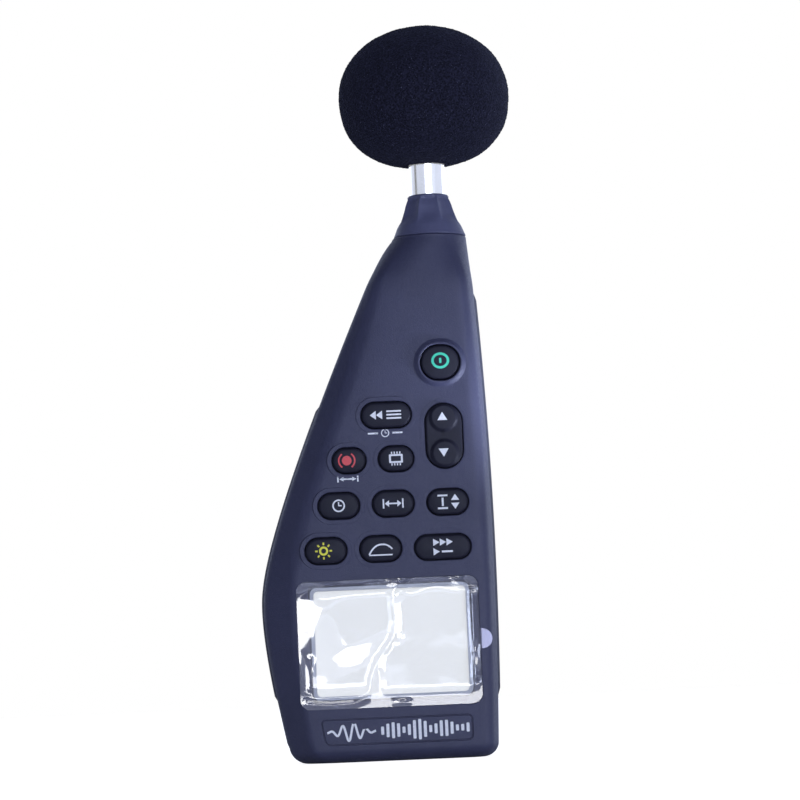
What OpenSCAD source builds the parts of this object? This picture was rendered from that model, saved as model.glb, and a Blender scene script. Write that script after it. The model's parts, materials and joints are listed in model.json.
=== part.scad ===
// Hand-held sound level meter with data logging.
// +Z runs up the microphone axis, the front face looks along -Y, +X is to the
// right seen from the front. The origin is where the microphone axis meets the
// flat bottom of the case.

/* [Case] */
// Height of the case, from the flat bottom to the seam of the nose cone
case_h = 191; // [189:0.5:193]
// Distance from the microphone axis to the flat front face
front_d = 17; // [17:0.1:17.5]
// Distance from the microphone axis to the flat back
back_d = 19; // [19:0.1:19.5]
// Wall thickness of the two case shells
wall = 2.2; // [2:0.1:2.3]
// Depth of the straight side band in front of the microphone axis
band_front = 9; // [8.5:0.1:9.5]
// Depth of the straight side band behind the microphone axis
band_back = 12; // [11.5:0.1:12.5]

/* [Grips] */
// How far the side grips stand out of the case
grip_proud = 0.7; // [0.3:0.1:1]
// How deep the side grips are let into the case
grip_sunk = 0.8; // [0.6:0.1:1]

/* [Microphone] */
// Radius of the half-inch microphone and its tube
mic_r = 6.6; // [6.5:0.05:6.6]
// Wall thickness of the microphone tube
tube_wall = 1; // [0.8:0.1:1.1]
// Height of the top of the microphone tube
tube_top = 238; // [236:1:239]
// Height of the tip of the microphone
mic_top = 252; // [251:0.5:252]
// Radius of the nose cone at its seam with the case
nose_r = 13.3; // [13:0.1:13.5]
// Height of the rim of the nose cone
nose_top = 207; // [206:0.5:208]

/* [Windscreen] */
// Radius of the foam windscreen
foam_r = 31.6; // [30:0.1:33]
// Height of the widest place of the windscreen
foam_z = 243.9; // [243:0.1:245]
// Half of the height of the windscreen
foam_half_h = 26.5; // [25:0.1:28]

/* [Screen] */
// Width of the clear window over the screen
window_w = 65.5; // [65:0.1:65.5]
// Height of the clear window over the screen
window_h = 46; // [45.5:0.1:46]
// Width of the visible display
view_w = 55; // [53:0.5:56]
// Height of the visible display
view_h = 38; // [36:0.5:39]

/* [Keys] */
// Gap between a key and the wall of its opening
key_gap = 0.35; // [0.3:0.05:0.4]
// Height of a key above the front face
key_proud = 1.4; // [1.2:0.1:1.5]
// Height of the raised collar around a key
collar_h = 0.5; // [0.3:0.1:0.6]
// Width of the raised collar around a key
collar_w = 1.5; // [1:0.1:1.6]

/* [Batteries] */
// Radius of one cell
cell_r = 7.2; // [7:0.05:7.25]
// Distance between two neighbouring cells
cell_pitch = 14.9; // [14.7:0.05:14.9]
// Number of cells
cell_count = 4; // [4:4]

/* [Tripod socket] */
// Radius of the threaded hole
tripod_r = 3.175; // [3.175:0.005:3.175]
// Length of the threaded hole
tripod_len = 8; // [7:0.5:8]

/* [Hidden] */
$fn = 48;
eps = 0.01;
big = 400;

// Colours
case_color = [0.13, 0.14, 0.19];
grip_color = [0.09, 0.10, 0.13];
key_color = [0.05, 0.06, 0.12];
metal_color = [0.78, 0.80, 0.82];
board_color = [0.05, 0.32, 0.16];
chip_color = [0.08, 0.08, 0.08];
plastic_color = [0.10, 0.10, 0.11];

// Outline of the case, seen from the front: a long curve on the left, a
// shallow bow on the right, and a flat bottom with rounded corners.
shoulder = [-24.7, 172];
belly = [-66.4, 56];
left_foot = [-59.2, 4.6];
left_corner_r = 7;
right_corner_r = 5.5;
bow_x = 18.15;
bow_z = 70;
bow_r = 1609;

// Outline of the flat front face
ridge_top = [-20, 176];
ridge_side = [-55.6, 52];
bevel_w = 3.3;
bottom_bevel = 4.5;
front_top = 178;

// Outline of the flat back
back_bevel = 5;
back_top = 150;

// Round section of the case below the nose
neck_z = 182;
neck_left = -20.2;
neck_right = 14.2;
neck_r = 10.5;

// Height and ends of the side grips
grip_y = [-6.5, 8];
left_grip_z = [23, 130];
right_grip_z = [22, 169];

// Screen
window_c = [-21.25, 42.5];
window_t = 1.5;
window_corner = 3.6;
shelf_y = -front_d + window_t + 0.05;
shelf_end = -13.7;
view_c = [-20.5, 43];
opening_w = view_w + 4;
opening_h = view_h + 4;
film_t = 0.15;
film_gap = 0.05;
tab_c = [12.3, 42.6];
tab_r = 3.6;
label_c = [-19.4, 11.1];
label_size = [54.2, 9.8];

// Main board
board_y = [-8, -6.4];
board_inset = 5.5;
board_top = 160;

// Keys: centre, width, height
power_key = [[1.5, 143], 14.8, 13.3];
recall_key = [[-18.9, 124.7], 18.7, 10];
up_down_key = [[1.8, 116.3], 13.9, 24];
record_key = [[-33, 108.7], 12.7, 9.8];
memory_key = [[-16, 108.7], 13.3, 9.8];
clock_key = [[-37.4, 92.5], 15.5, 10];
interval_key = [[-17.7, 92.5], 15.6, 10];
min_max_key = [[2, 92.3], 15.5, 10];
backlight_key = [[-42.7, 76.4], 15.6, 10];
weighting_key = [[-22.9, 76.4], 15.6, 10];
response_key = [[-0.5, 76.1], 20.9, 9.6];
KEYS = [
    power_key, recall_key, up_down_key, record_key, memory_key, clock_key,
    interval_key, min_max_key, backlight_key, weighting_key, response_key
];
flange_w = 0.8;
flange_top = -front_d + wall + 0.1;
flange_t = 1.2;
plunger_r = 2.2;
plunger_end = board_y[0] - 1;
rocker_reach = 6.5;
rocker_drop = 0.8;
rocker_y = -13.5;
rocker_r = 1.5;
mat_t = 1.1;
mat_z = [67, 152];

// Screws: places seen from the front
case_screw_at = [
    [-14.5, 166], [8.5, 166], [-52, 88], [10.6, 84.2], [-49.5, 8], [3.5, 8]
];
board_screw_at = [[-28.5, 84.35], [-24, 100.6], [-15, 137], [-44, 15.5], [2, 15.5]];
screw_r = 1.5;
boss_r = 3;
head_seat = 9;
post_r = 2;
board_screw_r = 0.9;

// Battery box
cells_x = -23.2;
cells_y = 8.8;
box_z = [13, 68.6];
box_wall = 1.2;
box_half_w = (cell_count - 1) * cell_pitch / 2 + cell_r + 0.4;
box_floor = [0.3, 1.1];
door_top = box_z[1] + box_wall + 1;
door_half_w = box_half_w + 0.9;
tongue_w = 1.2;
tongue_t = 1;
cell_len = 49.5;
nub_len = 1;
spring_len = 4.2;
spring_r = 3;
wire_r = 0.4;

// Connectors in the bottom end
jack_y = -3.3;
output_jack_x = -19;
power_jack_x = -31;
data_port_x = -7.5;
data_port_size = [7.8, 3.9];
trimmer_x = -41;

tripod_at = [-22, 100];
tripod_insert_r = 5;

/* ---- Curves ---- */

function bezier(p, n) = [
    for (i = [0 : n])
        let (t = i / n, s = 1 - t)
        s * s * s * p[0] + 3 * s * s * t * p[1] + 3 * s * t * t * p[2] + t * t * t * p[3]
];

function arc(c, r, a0, a1, n) = [
    for (i = [0 : n])
        let (a = a0 + (a1 - a0) * i / n)
        c + r * [cos(a), sin(a)]
];

function bow(z) = bow_x - pow(z - bow_z, 2) / (2 * bow_r);

case_points = concat(
    bezier([shoulder, [-66.5, 80], [-66.4, 64], belly], 12),
    bezier([belly, [-66.4, 40], [-61.2, 14.6], left_foot], 6),
    arc([left_foot[0] + left_corner_r, left_corner_r], left_corner_r, 195, 270, 4),
    arc([11.4, right_corner_r], right_corner_r, 270, 350, 4),
    [for (z = [14 : 22 : 172]) [bow(z), z]],
    [[bow(shoulder[1]), shoulder[1]]]
);

front_points = concat(
    bezier([ridge_top, [-45.5, 91], [-55.6, 92], ridge_side], 10),
    bezier([ridge_side, [-55.6, 36], [-53, 20], [-51, 8]], 4),
    [[-47.5, bottom_bevel], [11, bottom_bevel], [bow(10) - bevel_w, 8]],
    [for (z = [40 : 40 : 160]) [bow(z) - bevel_w, z]],
    [[9, front_top], [-17.5, front_top]]
);

/* ---- Building blocks ---- */

// Extrudes an outline drawn in X and Z from depth y0 to depth y1
module slab(y0, y1) {
    translate([0, y1, 0]) rotate([90, 0, 0]) linear_extrude(y1 - y0) children();
}

// Cylinder along Y
module rod_y(at, r, y0, y1) {
    translate([at[0], y1, at[1]]) rotate([90, 0, 0]) cylinder(r = r, h = y1 - y0);
}

// Box between two corners
module block(low, high) {
    translate(low) cube(high - low);
}

// Rounded bar with two half-round ends, lying in X and Z
module stadium(c, w, h, y0, y1) {
    r = min(w, h) / 2;
    dx = max(w - h, 0) / 2;
    dz = max(h - w, 0) / 2;
    rod_y([c[0] - dx, c[1] - dz], r, y0, y1);
    rod_y([c[0] + dx, c[1] + dz], r, y0, y1);
    block([c[0] - max(dx, r * sign(dz)), y0, c[1] - max(dz, r * sign(dx))],
          [c[0] + max(dx, r * sign(dz)), y1, c[1] + max(dz, r * sign(dx))]);
}

// Rectangle with rounded corners, lying in X and Z
module round_rect(c, w, h, r, y0, y1) {
    block([c[0] - w / 2 + r, y0, c[1] - h / 2], [c[0] + w / 2 - r, y1, c[1] + h / 2]);
    block([c[0] - w / 2, y0, c[1] - h / 2 + r], [c[0] + w / 2, y1, c[1] + h / 2 - r]);
    for (sx = [-1, 1], sz = [-1, 1])
        rod_y([c[0] + sx * (w / 2 - r), c[1] + sz * (h / 2 - r)], r, y0, y1);
}

/* ---- Case ---- */

module case_outline(inset) {
    offset(delta = -inset) polygon(case_points);
}

// The whole case as one block, shrunk by inset on every side
module case_block(inset) {
    hull() {
        slab(-band_front, band_back) case_outline(inset);
        slab(-front_d + inset, -front_d + inset + 0.1)
            offset(delta = -inset * 0.5) polygon(front_points);
        slab(back_d - inset - 0.1, back_d - inset)
            intersection() {
                case_outline(inset * 0.5 + back_bevel);
                translate([-100, 0]) square([200, back_top]);
            }
        for (x = [neck_left + neck_r, neck_right - neck_r])
            translate([x, 0, neck_z]) cylinder(r = neck_r - inset, h = 1, $fn = 32);
        translate([0, 0, case_h - 1])
            cylinder(r = nose_r - inset, h = 1 + (inset > 0 ? eps : 0), $fn = 64);
    }
}

module grip_band(out, sunk, y0, y1, z, side) {
    intersection() {
        slab(y0, y1) difference() {
            case_outline(-out);
            case_outline(sunk);
        }
        block([side < 0 ? -big : 0, -big, z[0]], [side < 0 ? 0 : big, big, z[1]]);
    }
}

module grip_recesses() {
    grip_band(1.5, grip_sunk + 0.05, grip_y[0], grip_y[1], left_grip_z, -1);
    grip_band(1.5, grip_sunk + 0.05, grip_y[0], grip_y[1], right_grip_z, 1);
}

module left_grip() {
    color(grip_color)
        grip_band(grip_proud, grip_sunk, grip_y[0] + 0.1, grip_y[1] - 0.1,
                  [left_grip_z[0] + 0.1, left_grip_z[1] - 0.1], -1);
}

module right_grip() {
    color(grip_color)
        grip_band(grip_proud, grip_sunk, grip_y[0] + 0.1, grip_y[1] - 0.1,
                  [right_grip_z[0] + 0.1, right_grip_z[1] - 0.1], 1);
}

module key_opening(key, extra, y0, y1) {
    stadium(key[0], key[1] + 2 * extra, key[2] + 2 * extra, y0, y1);
}

module front_shell() {
    color(case_color)
    difference() {
        union() {
            difference() {
                case_block(0);
                case_block(wall);
            }
            for (key = KEYS)
                key_opening(key, collar_w, -front_d - collar_h, -front_d + wall / 2);
            // Shelf behind the window
            round_rect(view_c, opening_w + 5, opening_h + 4, 3, shelf_y, shelf_end);
            for (at = case_screw_at)
                rod_y(at, boss_r, -band_front - (at[0] > -50 && at[0] < 10 ? 6 : 3), -eps);
            for (at = board_screw_at)
                rod_y(at, post_r, -front_d + wall / 2, board_y[0] - 0.05);
        }
        block([-big, 0, -big], [big, big, big]);
        for (key = KEYS)
            key_opening(key, 0, -front_d - 2, -front_d + wall + 1);
        round_rect(window_c, window_w + 0.1, window_h + 0.1, window_corner, -front_d - 1, shelf_y);
        round_rect(view_c, opening_w, opening_h, 1.5, -front_d - 1, shelf_end + 1);
        // Groove that frames the name plate field
        difference() {
            round_rect(label_c, label_size[0], label_size[1], 2, -front_d - 1, -front_d + 0.3);
            round_rect(label_c, label_size[0] - 1.2, label_size[1] - 1.2, 1.5, -front_d - 2, -front_d + 1);
        }
        for (at = case_screw_at)
            rod_y(at, screw_r + 0.05, -head_seat, 1);
        for (at = board_screw_at)
            rod_y(at, board_screw_r + 0.05, -13, 0);
        grip_recesses();
        connector_holes();
    }
}

module rear_shell() {
    color(case_color)
    difference() {
        union() {
            difference() {
                case_block(0);
                case_block(wall);
            }
            intersection() {
                case_block(0);
                for (at = case_screw_at)
                    rod_y(at, boss_r + 1.4, eps, back_d - wall + 0.1);
            }
            rod_y(tripod_at, tripod_insert_r + 1.6, back_d - tripod_len - 1.6, back_d - 1);
            // Walls of the battery box
            difference() {
                block([cells_x - box_half_w - box_wall, box_floor[0], box_z[0] - box_wall],
                      [cells_x + box_half_w + box_wall, back_d - wall + 0.2, box_z[1] + box_wall]);
                block([cells_x - box_half_w, box_floor[1], box_z[0]],
                      [cells_x + box_half_w, back_d, box_z[1]]);
            }
        }
        block([-big, -big, -big], [big, 0, big]);
        // Opening of the battery door, with a groove for its tongues
        block([cells_x - door_half_w - 0.1, band_back, -1],
              [cells_x + door_half_w + 0.1, back_d + 1, door_top + 0.1]);
        block([cells_x - door_half_w - tongue_w - 0.15, back_d - wall - 0.05, -1],
              [cells_x + door_half_w + tongue_w + 0.15, back_d - wall + tongue_t + 0.1, door_top + 0.1]);
        for (at = case_screw_at) {
            rod_y(at, screw_r + 0.15, -1, back_d);
            rod_y(at, boss_r + 0.1, head_seat, back_d + 1);
        }
        rod_y(tripod_at, tripod_insert_r + 0.02, back_d - tripod_len, back_d + 1);
        for (i = [0, 3])
            translate([cell_x(i), cells_y, box_z[1] - 1]) cylinder(r = 0.9, h = 4);
        grip_recesses();
    }
}

module battery_door() {
    color(case_color) {
        intersection() {
            difference() {
                case_block(0);
                case_block(wall);
            }
            block([cells_x - door_half_w, band_back + 0.1, -1],
                  [cells_x + door_half_w, back_d + 1, door_top]);
        }
        for (side = [-1, 1])
            translate([cells_x + side * (door_half_w + tongue_w / 2 - 0.2), 0, 0])
                block([-tongue_w / 2 - 0.2, back_d - wall, box_z[0] + 1],
                      [tongue_w / 2 + 0.2, back_d - wall + tongue_t, door_top]);
    }
}

// Holes for the connectors in the bottom wall
module connector_holes() {
    for (x = [output_jack_x, power_jack_x])
        translate([x, jack_y, -1]) cylinder(r = 3.1, h = wall + 2);
    translate([trimmer_x, jack_y, -1]) cylinder(r = 1.7, h = wall + 2);
    block([data_port_x - data_port_size[0] / 2 - 0.1, jack_y - data_port_size[1] / 2 - 0.1, -1],
          [data_port_x + data_port_size[0] / 2 + 0.1, jack_y + data_port_size[1] / 2 + 0.1, wall + 1]);
}

/* ---- Nose and microphone ---- */

module nose_cone() {
    spigot_r = nose_r - wall - 0.1;
    spigot_z = case_h - 6;
    color(case_color)
    difference() {
        rotate_extrude($fn = 96) polygon([
            [mic_r + 0.05, spigot_z], [spigot_r, spigot_z], [spigot_r, case_h + 0.05],
            [nose_r, case_h + 0.05], [nose_r - 1.05, case_h + 2.3], [nose_r - 2.75, case_h + 6.8],
            [nose_r - 3.75, nose_top - 4.7], [nose_r - 5, nose_top - 2],
            [nose_r - 5.7, nose_top - 1], [nose_r - 6.3, nose_top], [mic_r + 0.05, nose_top]
        ]);
        // Room for the tube seal
        translate([0, 0, spigot_z - 1]) cylinder(r = mic_r + 1.6, h = 3.2);
        // Flutes for turning the cone by hand
        for (a = [0 : 45 : 315])
            rotate([0, 0, a + 22.5]) translate([11.4, 0, nose_top - 7]) rotate([0, -17, 0])
                translate([0, 0, -6]) cylinder(r = 1.7, h = 12);
    }
}

module tube_seal() {
    color(chip_color)
    translate([0, 0, case_h - 5])
        rotate_extrude() translate([mic_r + 0.77, 0]) circle(r = 0.75, $fn = 24);
}

module mic_tube() {
    foot_z = case_h - 15;
    color(metal_color)
    difference() {
        union() {
            translate([0, 0, foot_z]) cylinder(r = mic_r, h = tube_top - foot_z, $fn = 96);
            translate([0, 0, foot_z]) cylinder(r = mic_r + 2, h = 2);
        }
        translate([0, 0, foot_z - 1]) cylinder(r = mic_r - tube_wall, h = tube_top - foot_z + 2);
    }
}

module preamp_board() {
    color(board_color) {
        block([-4.8, -0.6, case_h - 10], [4.8, 0.6, tube_top - 6]);
        block([-3, 0.6 - eps, case_h + 6], [3, 2, case_h + 14]);
        block([-2.4, 0.6 - eps, case_h + 24], [2.4, 1.8, case_h + 30]);
    }
}

module mic_housing() {
    color(metal_color)
    translate([0, 0, tube_top])
    difference() {
        cylinder(r = mic_r, h = mic_top - tube_top - 2.9, $fn = 96);
        translate([0, 0, -1]) cylinder(r = mic_r - 0.7, h = mic_top - tube_top);
    }
}

module mic_insulator() {
    color("ivory")
    translate([0, 0, tube_top + 2])
    difference() {
        cylinder(r = mic_r - 0.75, h = 3.5);
        translate([0, 0, -1]) cylinder(r = 1.05, h = 6);
    }
}

module mic_backplate() {
    color("gold") {
        translate([0, 0, tube_top + 5.6]) cylinder(r = 4.6, h = 4.6);
        translate([0, 0, tube_top - 3]) cylinder(r = 1, h = 9);
    }
}

module mic_diaphragm() {
    color("silver")
    translate([0, 0, mic_top - 3.25]) cylinder(r = mic_r - 0.75, h = 0.2);
}

module mic_grid() {
    color(metal_color)
    translate([0, 0, mic_top - 2.8])
    difference() {
        cylinder(r = mic_r, h = 2.8, $fn = 96);
        translate([0, 0, -1]) cylinder(r = mic_r - 0.6, h = 3.1);
        for (ring = [[0, 1], [2.4, 6], [4.6, 10]], k = [0 : ring[1] - 1])
            rotate([0, 0, k * 360 / ring[1]]) translate([ring[0], 0, 0])
                cylinder(r = 0.8, h = 5, $fn = 24);
    }
}

// Half profile of the foam ball, flatter below than above
function foam_radius(z) =
    let (u = (z - foam_z) / foam_half_h, e = u > 0 ? 2.15 : 2.5)
    foam_r * pow(max(1 - pow(abs(u), e), 0), 1 / e);

module windscreen() {
    profile = [
        for (i = [0 : 24])
            let (z = foam_z - foam_half_h * cos(i * 7.5))
            [foam_radius(z), z]
    ];
    color([0.10, 0.11, 0.18])
    difference() {
        rotate_extrude($fn = 96) polygon(concat([[0, foam_z - foam_half_h]], profile));
        translate([0, 0, foam_z - foam_half_h - 1])
            cylinder(r = mic_r + 0.06, h = mic_top + 0.4 - foam_z + foam_half_h + 1);
    }
}

/* ---- Screen ---- */

module lcd_window() {
    color([0.85, 0.88, 0.9, 0.35])
        round_rect(window_c, window_w, window_h, window_corner - 0.05, -front_d, -front_d + window_t);
}

module screen_film() {
    y1 = -front_d - film_gap;
    color([0.92, 0.94, 0.96, 0.4]) {
        round_rect(window_c, window_w, window_h, window_corner, y1 - film_t, y1);
        rod_y(tab_c, tab_r, y1 - film_t, y1);
    }
}

module lcd_frame() {
    color(plastic_color)
    difference() {
        round_rect(view_c, view_w + 7, view_h + 7, 1.5, shelf_end + 0.1, board_y[0] - 0.05);
        round_rect(view_c, view_w, view_h, 0.5, -15, -7);
        round_rect(view_c, view_w + 4.2, view_h + 4.2, 0.5, -12.8, -7);
    }
}

module lcd_glass() {
    color([0.80, 0.84, 0.80])
        round_rect(view_c, view_w + 4, view_h + 4, 0.4, -12.7, -10.7);
}

module lcd_backlight() {
    color("whitesmoke")
        round_rect([view_c[0], view_c[1] + 1.5], view_w + 4, view_h + 1, 0.4, -10.6, -8.1);
}

module zebra_strip() {
    color("dimgray")
        block([view_c[0] - 26, -10.65, view_c[1] - view_h / 2 - 1.8],
              [view_c[0] + 26, board_y[0] - 0.05, view_c[1] - view_h / 2 + 0.4]);
}

/* ---- Electronics ---- */

module main_board() {
    color(board_color)
    difference() {
        slab(board_y[0], board_y[1])
            intersection() {
                case_outline(board_inset);
                translate([-100, 0]) square([200, board_top]);
            }
        for (at = case_screw_at)
            rod_y(at, boss_r + 0.5, -12, 0);
        for (at = board_screw_at)
            rod_y(at, board_screw_r + 0.1, -12, 0);
    }
}

module board_chips() {
    y0 = board_y[1] + 0.02;
    color(chip_color) {
        block([-43, y0, 96], [-29, y0 + 1.4, 110]);
        block([-12, y0, 92], [0, y0 + 1.2, 100]);
        block([-30, y0, 118], [-20, y0 + 1.6, 125]);
        block([-8, y0, 120], [0, y0 + 1.6, 130]);
        block([-20, y0, 74], [-12, y0 + 3, 82]);
        block([-3, y0, 152], [5, y0 + 3.5, 158]);
    }
}

module board_screws() {
    color(metal_color)
    for (at = board_screw_at) {
        rod_y(at, 1.8, board_y[1] + 0.02, board_y[1] + 1.4);
        rod_y(at, board_screw_r, -12.5, board_y[1] + 0.5);
    }
}

module keypad_mat() {
    color([0.25, 0.26, 0.28])
    difference() {
        slab(board_y[0] - 0.02 - mat_t, board_y[0] - 0.02)
            intersection() {
                case_outline(board_inset + 1.5);
                translate([-100, mat_z[0]]) square([200, mat_z[1] - mat_z[0]]);
            }
        for (key = KEYS, at = plungers(key))
            rod_y(at, plunger_r + 0.7, -12, 0);
        for (at = board_screw_at)
            rod_y(at, post_r + 0.2, -12, 0);
        for (at = case_screw_at)
            rod_y(at, boss_r + 0.5, -12, 0);
    }
}

module mic_cable() {
    top = case_h - 10.2;
    low = board_top + 4;
    color("black") {
        translate([0, 0, low]) cylinder(r = 1.2, h = top - low);
        translate([0, 0, low]) sphere(r = 1.2);
        translate([0, 0, low]) rotate([130, 0, 0]) cylinder(r = 1.2, h = 7.2);
    }
}

/* ---- Keys ---- */

// Places of the plungers under a key
function plungers(key) =
    key[2] > 20 ? [key[0] + [0, rocker_reach], key[0] - [0, rocker_reach]]
    : key[1] > 20 ? [key[0] + [5, 0], key[0] - [5, 0]]
    : [key[0]];

module key_cap(key, drop) {
    top = -front_d - key_proud;
    seat = flange_top + drop;
    difference() {
        key_opening(key, -key_gap, top, seat + eps);
        // Round finger dishes of the tall key
        if (key[2] > 20)
            for (at = plungers(key))
                translate([at[0], top - 9.5, at[1]]) sphere(r = 10);
    }
    key_opening(key, flange_w, seat, seat + flange_t);
    for (at = plungers(key))
        rod_y(at, plunger_r, seat + eps, plunger_end);
}

module key_power() { color(key_color) key_cap(power_key, 0); }
module key_recall() { color(key_color) key_cap(recall_key, 0); }
module key_up_down() {
    half = up_down_key[1] / 2 - 0.5;
    color(key_color) {
        key_cap(up_down_key, rocker_drop);
        // Round rib the key rocks on
        translate([up_down_key[0][0] - half, rocker_y, up_down_key[0][1]])
            rotate([0, 90, 0]) cylinder(r = rocker_r, h = 2 * half);
    }
}

module key_record() { color(key_color) key_cap(record_key, 0); }
module key_memory() { color(key_color) key_cap(memory_key, 0); }
module key_clock() { color(key_color) key_cap(clock_key, 0); }
module key_interval() { color(key_color) key_cap(interval_key, 0); }
module key_min_max() { color(key_color) key_cap(min_max_key, 0); }
module key_backlight() { color(key_color) key_cap(backlight_key, 0); }
module key_weighting() { color(key_color) key_cap(weighting_key, 0); }
module key_response() { color(key_color) key_cap(response_key, 0); }

/* ---- Batteries ---- */

function cell_x(i) = cells_x + (i - (cell_count - 1) / 2) * cell_pitch;

// Places something in every cell bay, turned over in every second bay
module cell_bays() {
    middle = (box_z[0] + box_z[1]) / 2;
    for (i = [0 : cell_count - 1])
        translate([cell_x(i), cells_y, middle]) rotate([i % 2 * 180, 0, 0])
            translate([0, 0, -(box_z[1] - box_z[0]) / 2]) children();
}

module battery_cells() {
    color([0.75, 0.55, 0.2])
    cell_bays() {
        translate([0, 0, spring_len + 0.05]) cylinder(r = cell_r, h = cell_len);
        translate([0, 0, spring_len + cell_len]) cylinder(r = 2.7, h = nub_len + 0.05);
    }
}

module battery_springs() {
    turns = 3;
    color(metal_color)
    cell_bays() {
        translate([0, 0, 0.05])
            linear_extrude(spring_len - 0.1, twist = -360 * turns, slices = 12 * turns, $fn = 8)
                translate([spring_r, 0]) circle(r = wire_r, $fn = 8);
    }
}

module battery_plates() {
    color(metal_color)
    cell_bays() {
        top = box_z[1] - box_z[0];
        block([-4, -4, top - 0.4], [4, 4, top - 0.05]);
    }
}

module battery_leads() {
    color("firebrick")
    for (i = [0, 3]) {
        translate([cell_x(i), cells_y, box_z[1] - 0.03]) cylinder(r = 0.7, h = 2.9);
        translate([cell_x(i), cells_y, box_z[1] + 2.87]) sphere(r = 0.7);
        rod_y([cell_x(i), box_z[1] + 2.87], 0.7, board_y[1] + 0.02, cells_y);
    }
}

/* ---- Fasteners and sockets ---- */

module tripod_insert() {
    color("goldenrod")
    difference() {
        rod_y(tripod_at, tripod_insert_r, back_d - tripod_len, back_d);
        rod_y(tripod_at, tripod_r, back_d - tripod_len - 1, back_d + 1);
    }
}

module case_screws() {
    color(metal_color)
    for (at = case_screw_at)
        difference() {
            union() {
                rod_y(at, screw_r, -head_seat + 0.5, head_seat + 0.5);
                rod_y(at, 2.8, head_seat + 0.02, head_seat + 2);
            }
            block([at[0] - 1.6, head_seat + 1.2, at[1] - 0.3], [at[0] + 1.6, head_seat + 3, at[1] + 0.3]);
            block([at[0] - 0.3, head_seat + 1.2, at[1] - 1.6], [at[0] + 0.3, head_seat + 3, at[1] + 1.6]);
        }
}

// Round socket with a square body behind the bottom wall
module jack(x, hole_r, depth) {
    difference() {
        union() {
            translate([x, jack_y, 0.4]) cylinder(r = 3, h = 3);
            block([x - 3.2, board_y[1] + 0.02, wall + 0.1], [x + 3.2, jack_y + 3, wall + 9]);
        }
        translate([x, jack_y, -1]) cylinder(r = hole_r, h = depth);
    }
}

module output_jack() { color(chip_color) jack(output_jack_x, 1.75, 11); }

module power_jack() {
    color(chip_color) {
        jack(power_jack_x, 2.2, 10);
        translate([power_jack_x, jack_y, 1.5]) cylinder(r = 0.65, h = 8);
    }
}

module data_port() {
    w = data_port_size[0] / 2;
    t = data_port_size[1] / 2;
    color(metal_color)
    difference() {
        block([data_port_x - w, jack_y - t, 0.4], [data_port_x + w, jack_y + t, 9.5]);
        block([data_port_x - w + 0.4, jack_y - t + 0.4, -1], [data_port_x + w - 0.4, jack_y + t - 0.4, 8]);
    }
    color(chip_color)
        block([data_port_x - 2.6, jack_y - 0.4, 2], [data_port_x + 2.6, jack_y + 0.4, 8.5]);
}

module cal_trimmer() {
    color("royalblue")
    difference() {
        block([trimmer_x - 3, board_y[1] + 0.02, 5], [trimmer_x + 3, jack_y + 2.8, 11]);
        translate([trimmer_x, jack_y, 0]) cylinder(r = 1.33, h = 9);
    }
}

module cal_screw() {
    color("gold")
    difference() {
        translate([trimmer_x, jack_y, 2.6]) cylinder(r = 1.3, h = 6.2);
        block([trimmer_x - 2, jack_y - 0.25, 2], [trimmer_x + 2, jack_y + 0.25, 3.3]);
    }
}

front_shell();
rear_shell();
left_grip();
right_grip();
battery_door();
nose_cone();
tube_seal();
mic_tube();
preamp_board();
mic_housing();
mic_insulator();
mic_backplate();
mic_diaphragm();
mic_grid();
windscreen();
lcd_window();
screen_film();
lcd_frame();
lcd_glass();
lcd_backlight();
zebra_strip();
main_board();
board_chips();
board_screws();
keypad_mat();
mic_cable();
key_power();
key_recall();
key_up_down();
key_record();
key_memory();
key_clock();
key_interval();
key_min_max();
key_backlight();
key_weighting();
key_response();
battery_cells();
battery_springs();
battery_plates();
battery_leads();
tripod_insert();
case_screws();
power_jack();
output_jack();
data_port();
cal_trimmer();
cal_screw();
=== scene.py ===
"""Looks of a hand-held sound level meter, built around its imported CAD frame.

Lengths are in millimetres until a mesh is made, and the axes are the frame's:
+Z up the microphone axis, the front face looks along -Y, +X to the right.
"""
import json
import math

import bmesh
import bpy
import numpy as np
from mathutils import Matrix, Vector, noise


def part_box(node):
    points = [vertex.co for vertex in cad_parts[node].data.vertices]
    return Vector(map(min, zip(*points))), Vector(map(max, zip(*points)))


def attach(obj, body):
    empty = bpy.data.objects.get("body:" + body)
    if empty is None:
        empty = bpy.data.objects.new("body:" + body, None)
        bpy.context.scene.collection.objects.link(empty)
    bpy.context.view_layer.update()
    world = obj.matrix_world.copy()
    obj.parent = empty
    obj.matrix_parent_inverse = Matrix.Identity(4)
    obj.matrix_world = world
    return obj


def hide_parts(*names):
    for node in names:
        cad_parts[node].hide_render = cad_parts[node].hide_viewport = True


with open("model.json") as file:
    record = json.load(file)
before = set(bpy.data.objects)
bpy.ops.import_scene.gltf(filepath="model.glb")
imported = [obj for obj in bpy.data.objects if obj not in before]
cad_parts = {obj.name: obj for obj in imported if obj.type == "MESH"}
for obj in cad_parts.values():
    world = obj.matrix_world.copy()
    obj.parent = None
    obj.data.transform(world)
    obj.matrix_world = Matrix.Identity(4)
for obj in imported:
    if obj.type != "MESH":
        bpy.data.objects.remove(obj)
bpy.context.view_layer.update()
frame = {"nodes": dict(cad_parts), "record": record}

MM = 0.001
TURN = 2 * math.pi


def node_box(node):
    """Lowest and highest corner of a CAD node, in millimetres."""
    low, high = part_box(node)
    return np.array(low) / MM, np.array(high) / MM


def middle_xz(node):
    low, high = node_box(node)
    return (low[[0, 2]] + high[[0, 2]]) / 2


# ---------------------------------------------------------------- sizes ----
BACK_Y, CASE_H = node_box("rear_shell")[1][1:]
FRONT_Y = -17.0
NOSE_R = 13.3
WALL = 2.2
BAND_FRONT = 9.0
BAND_BACK = 12.0
SEAM_GAP = 0.12

WINDOW_LOW, WINDOW_HIGH = node_box("lcd_window")
FOAM_HIGH = node_box("windscreen")[1]
CONE_LOW, CONE_HIGH = node_box("nose_cone")

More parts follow.
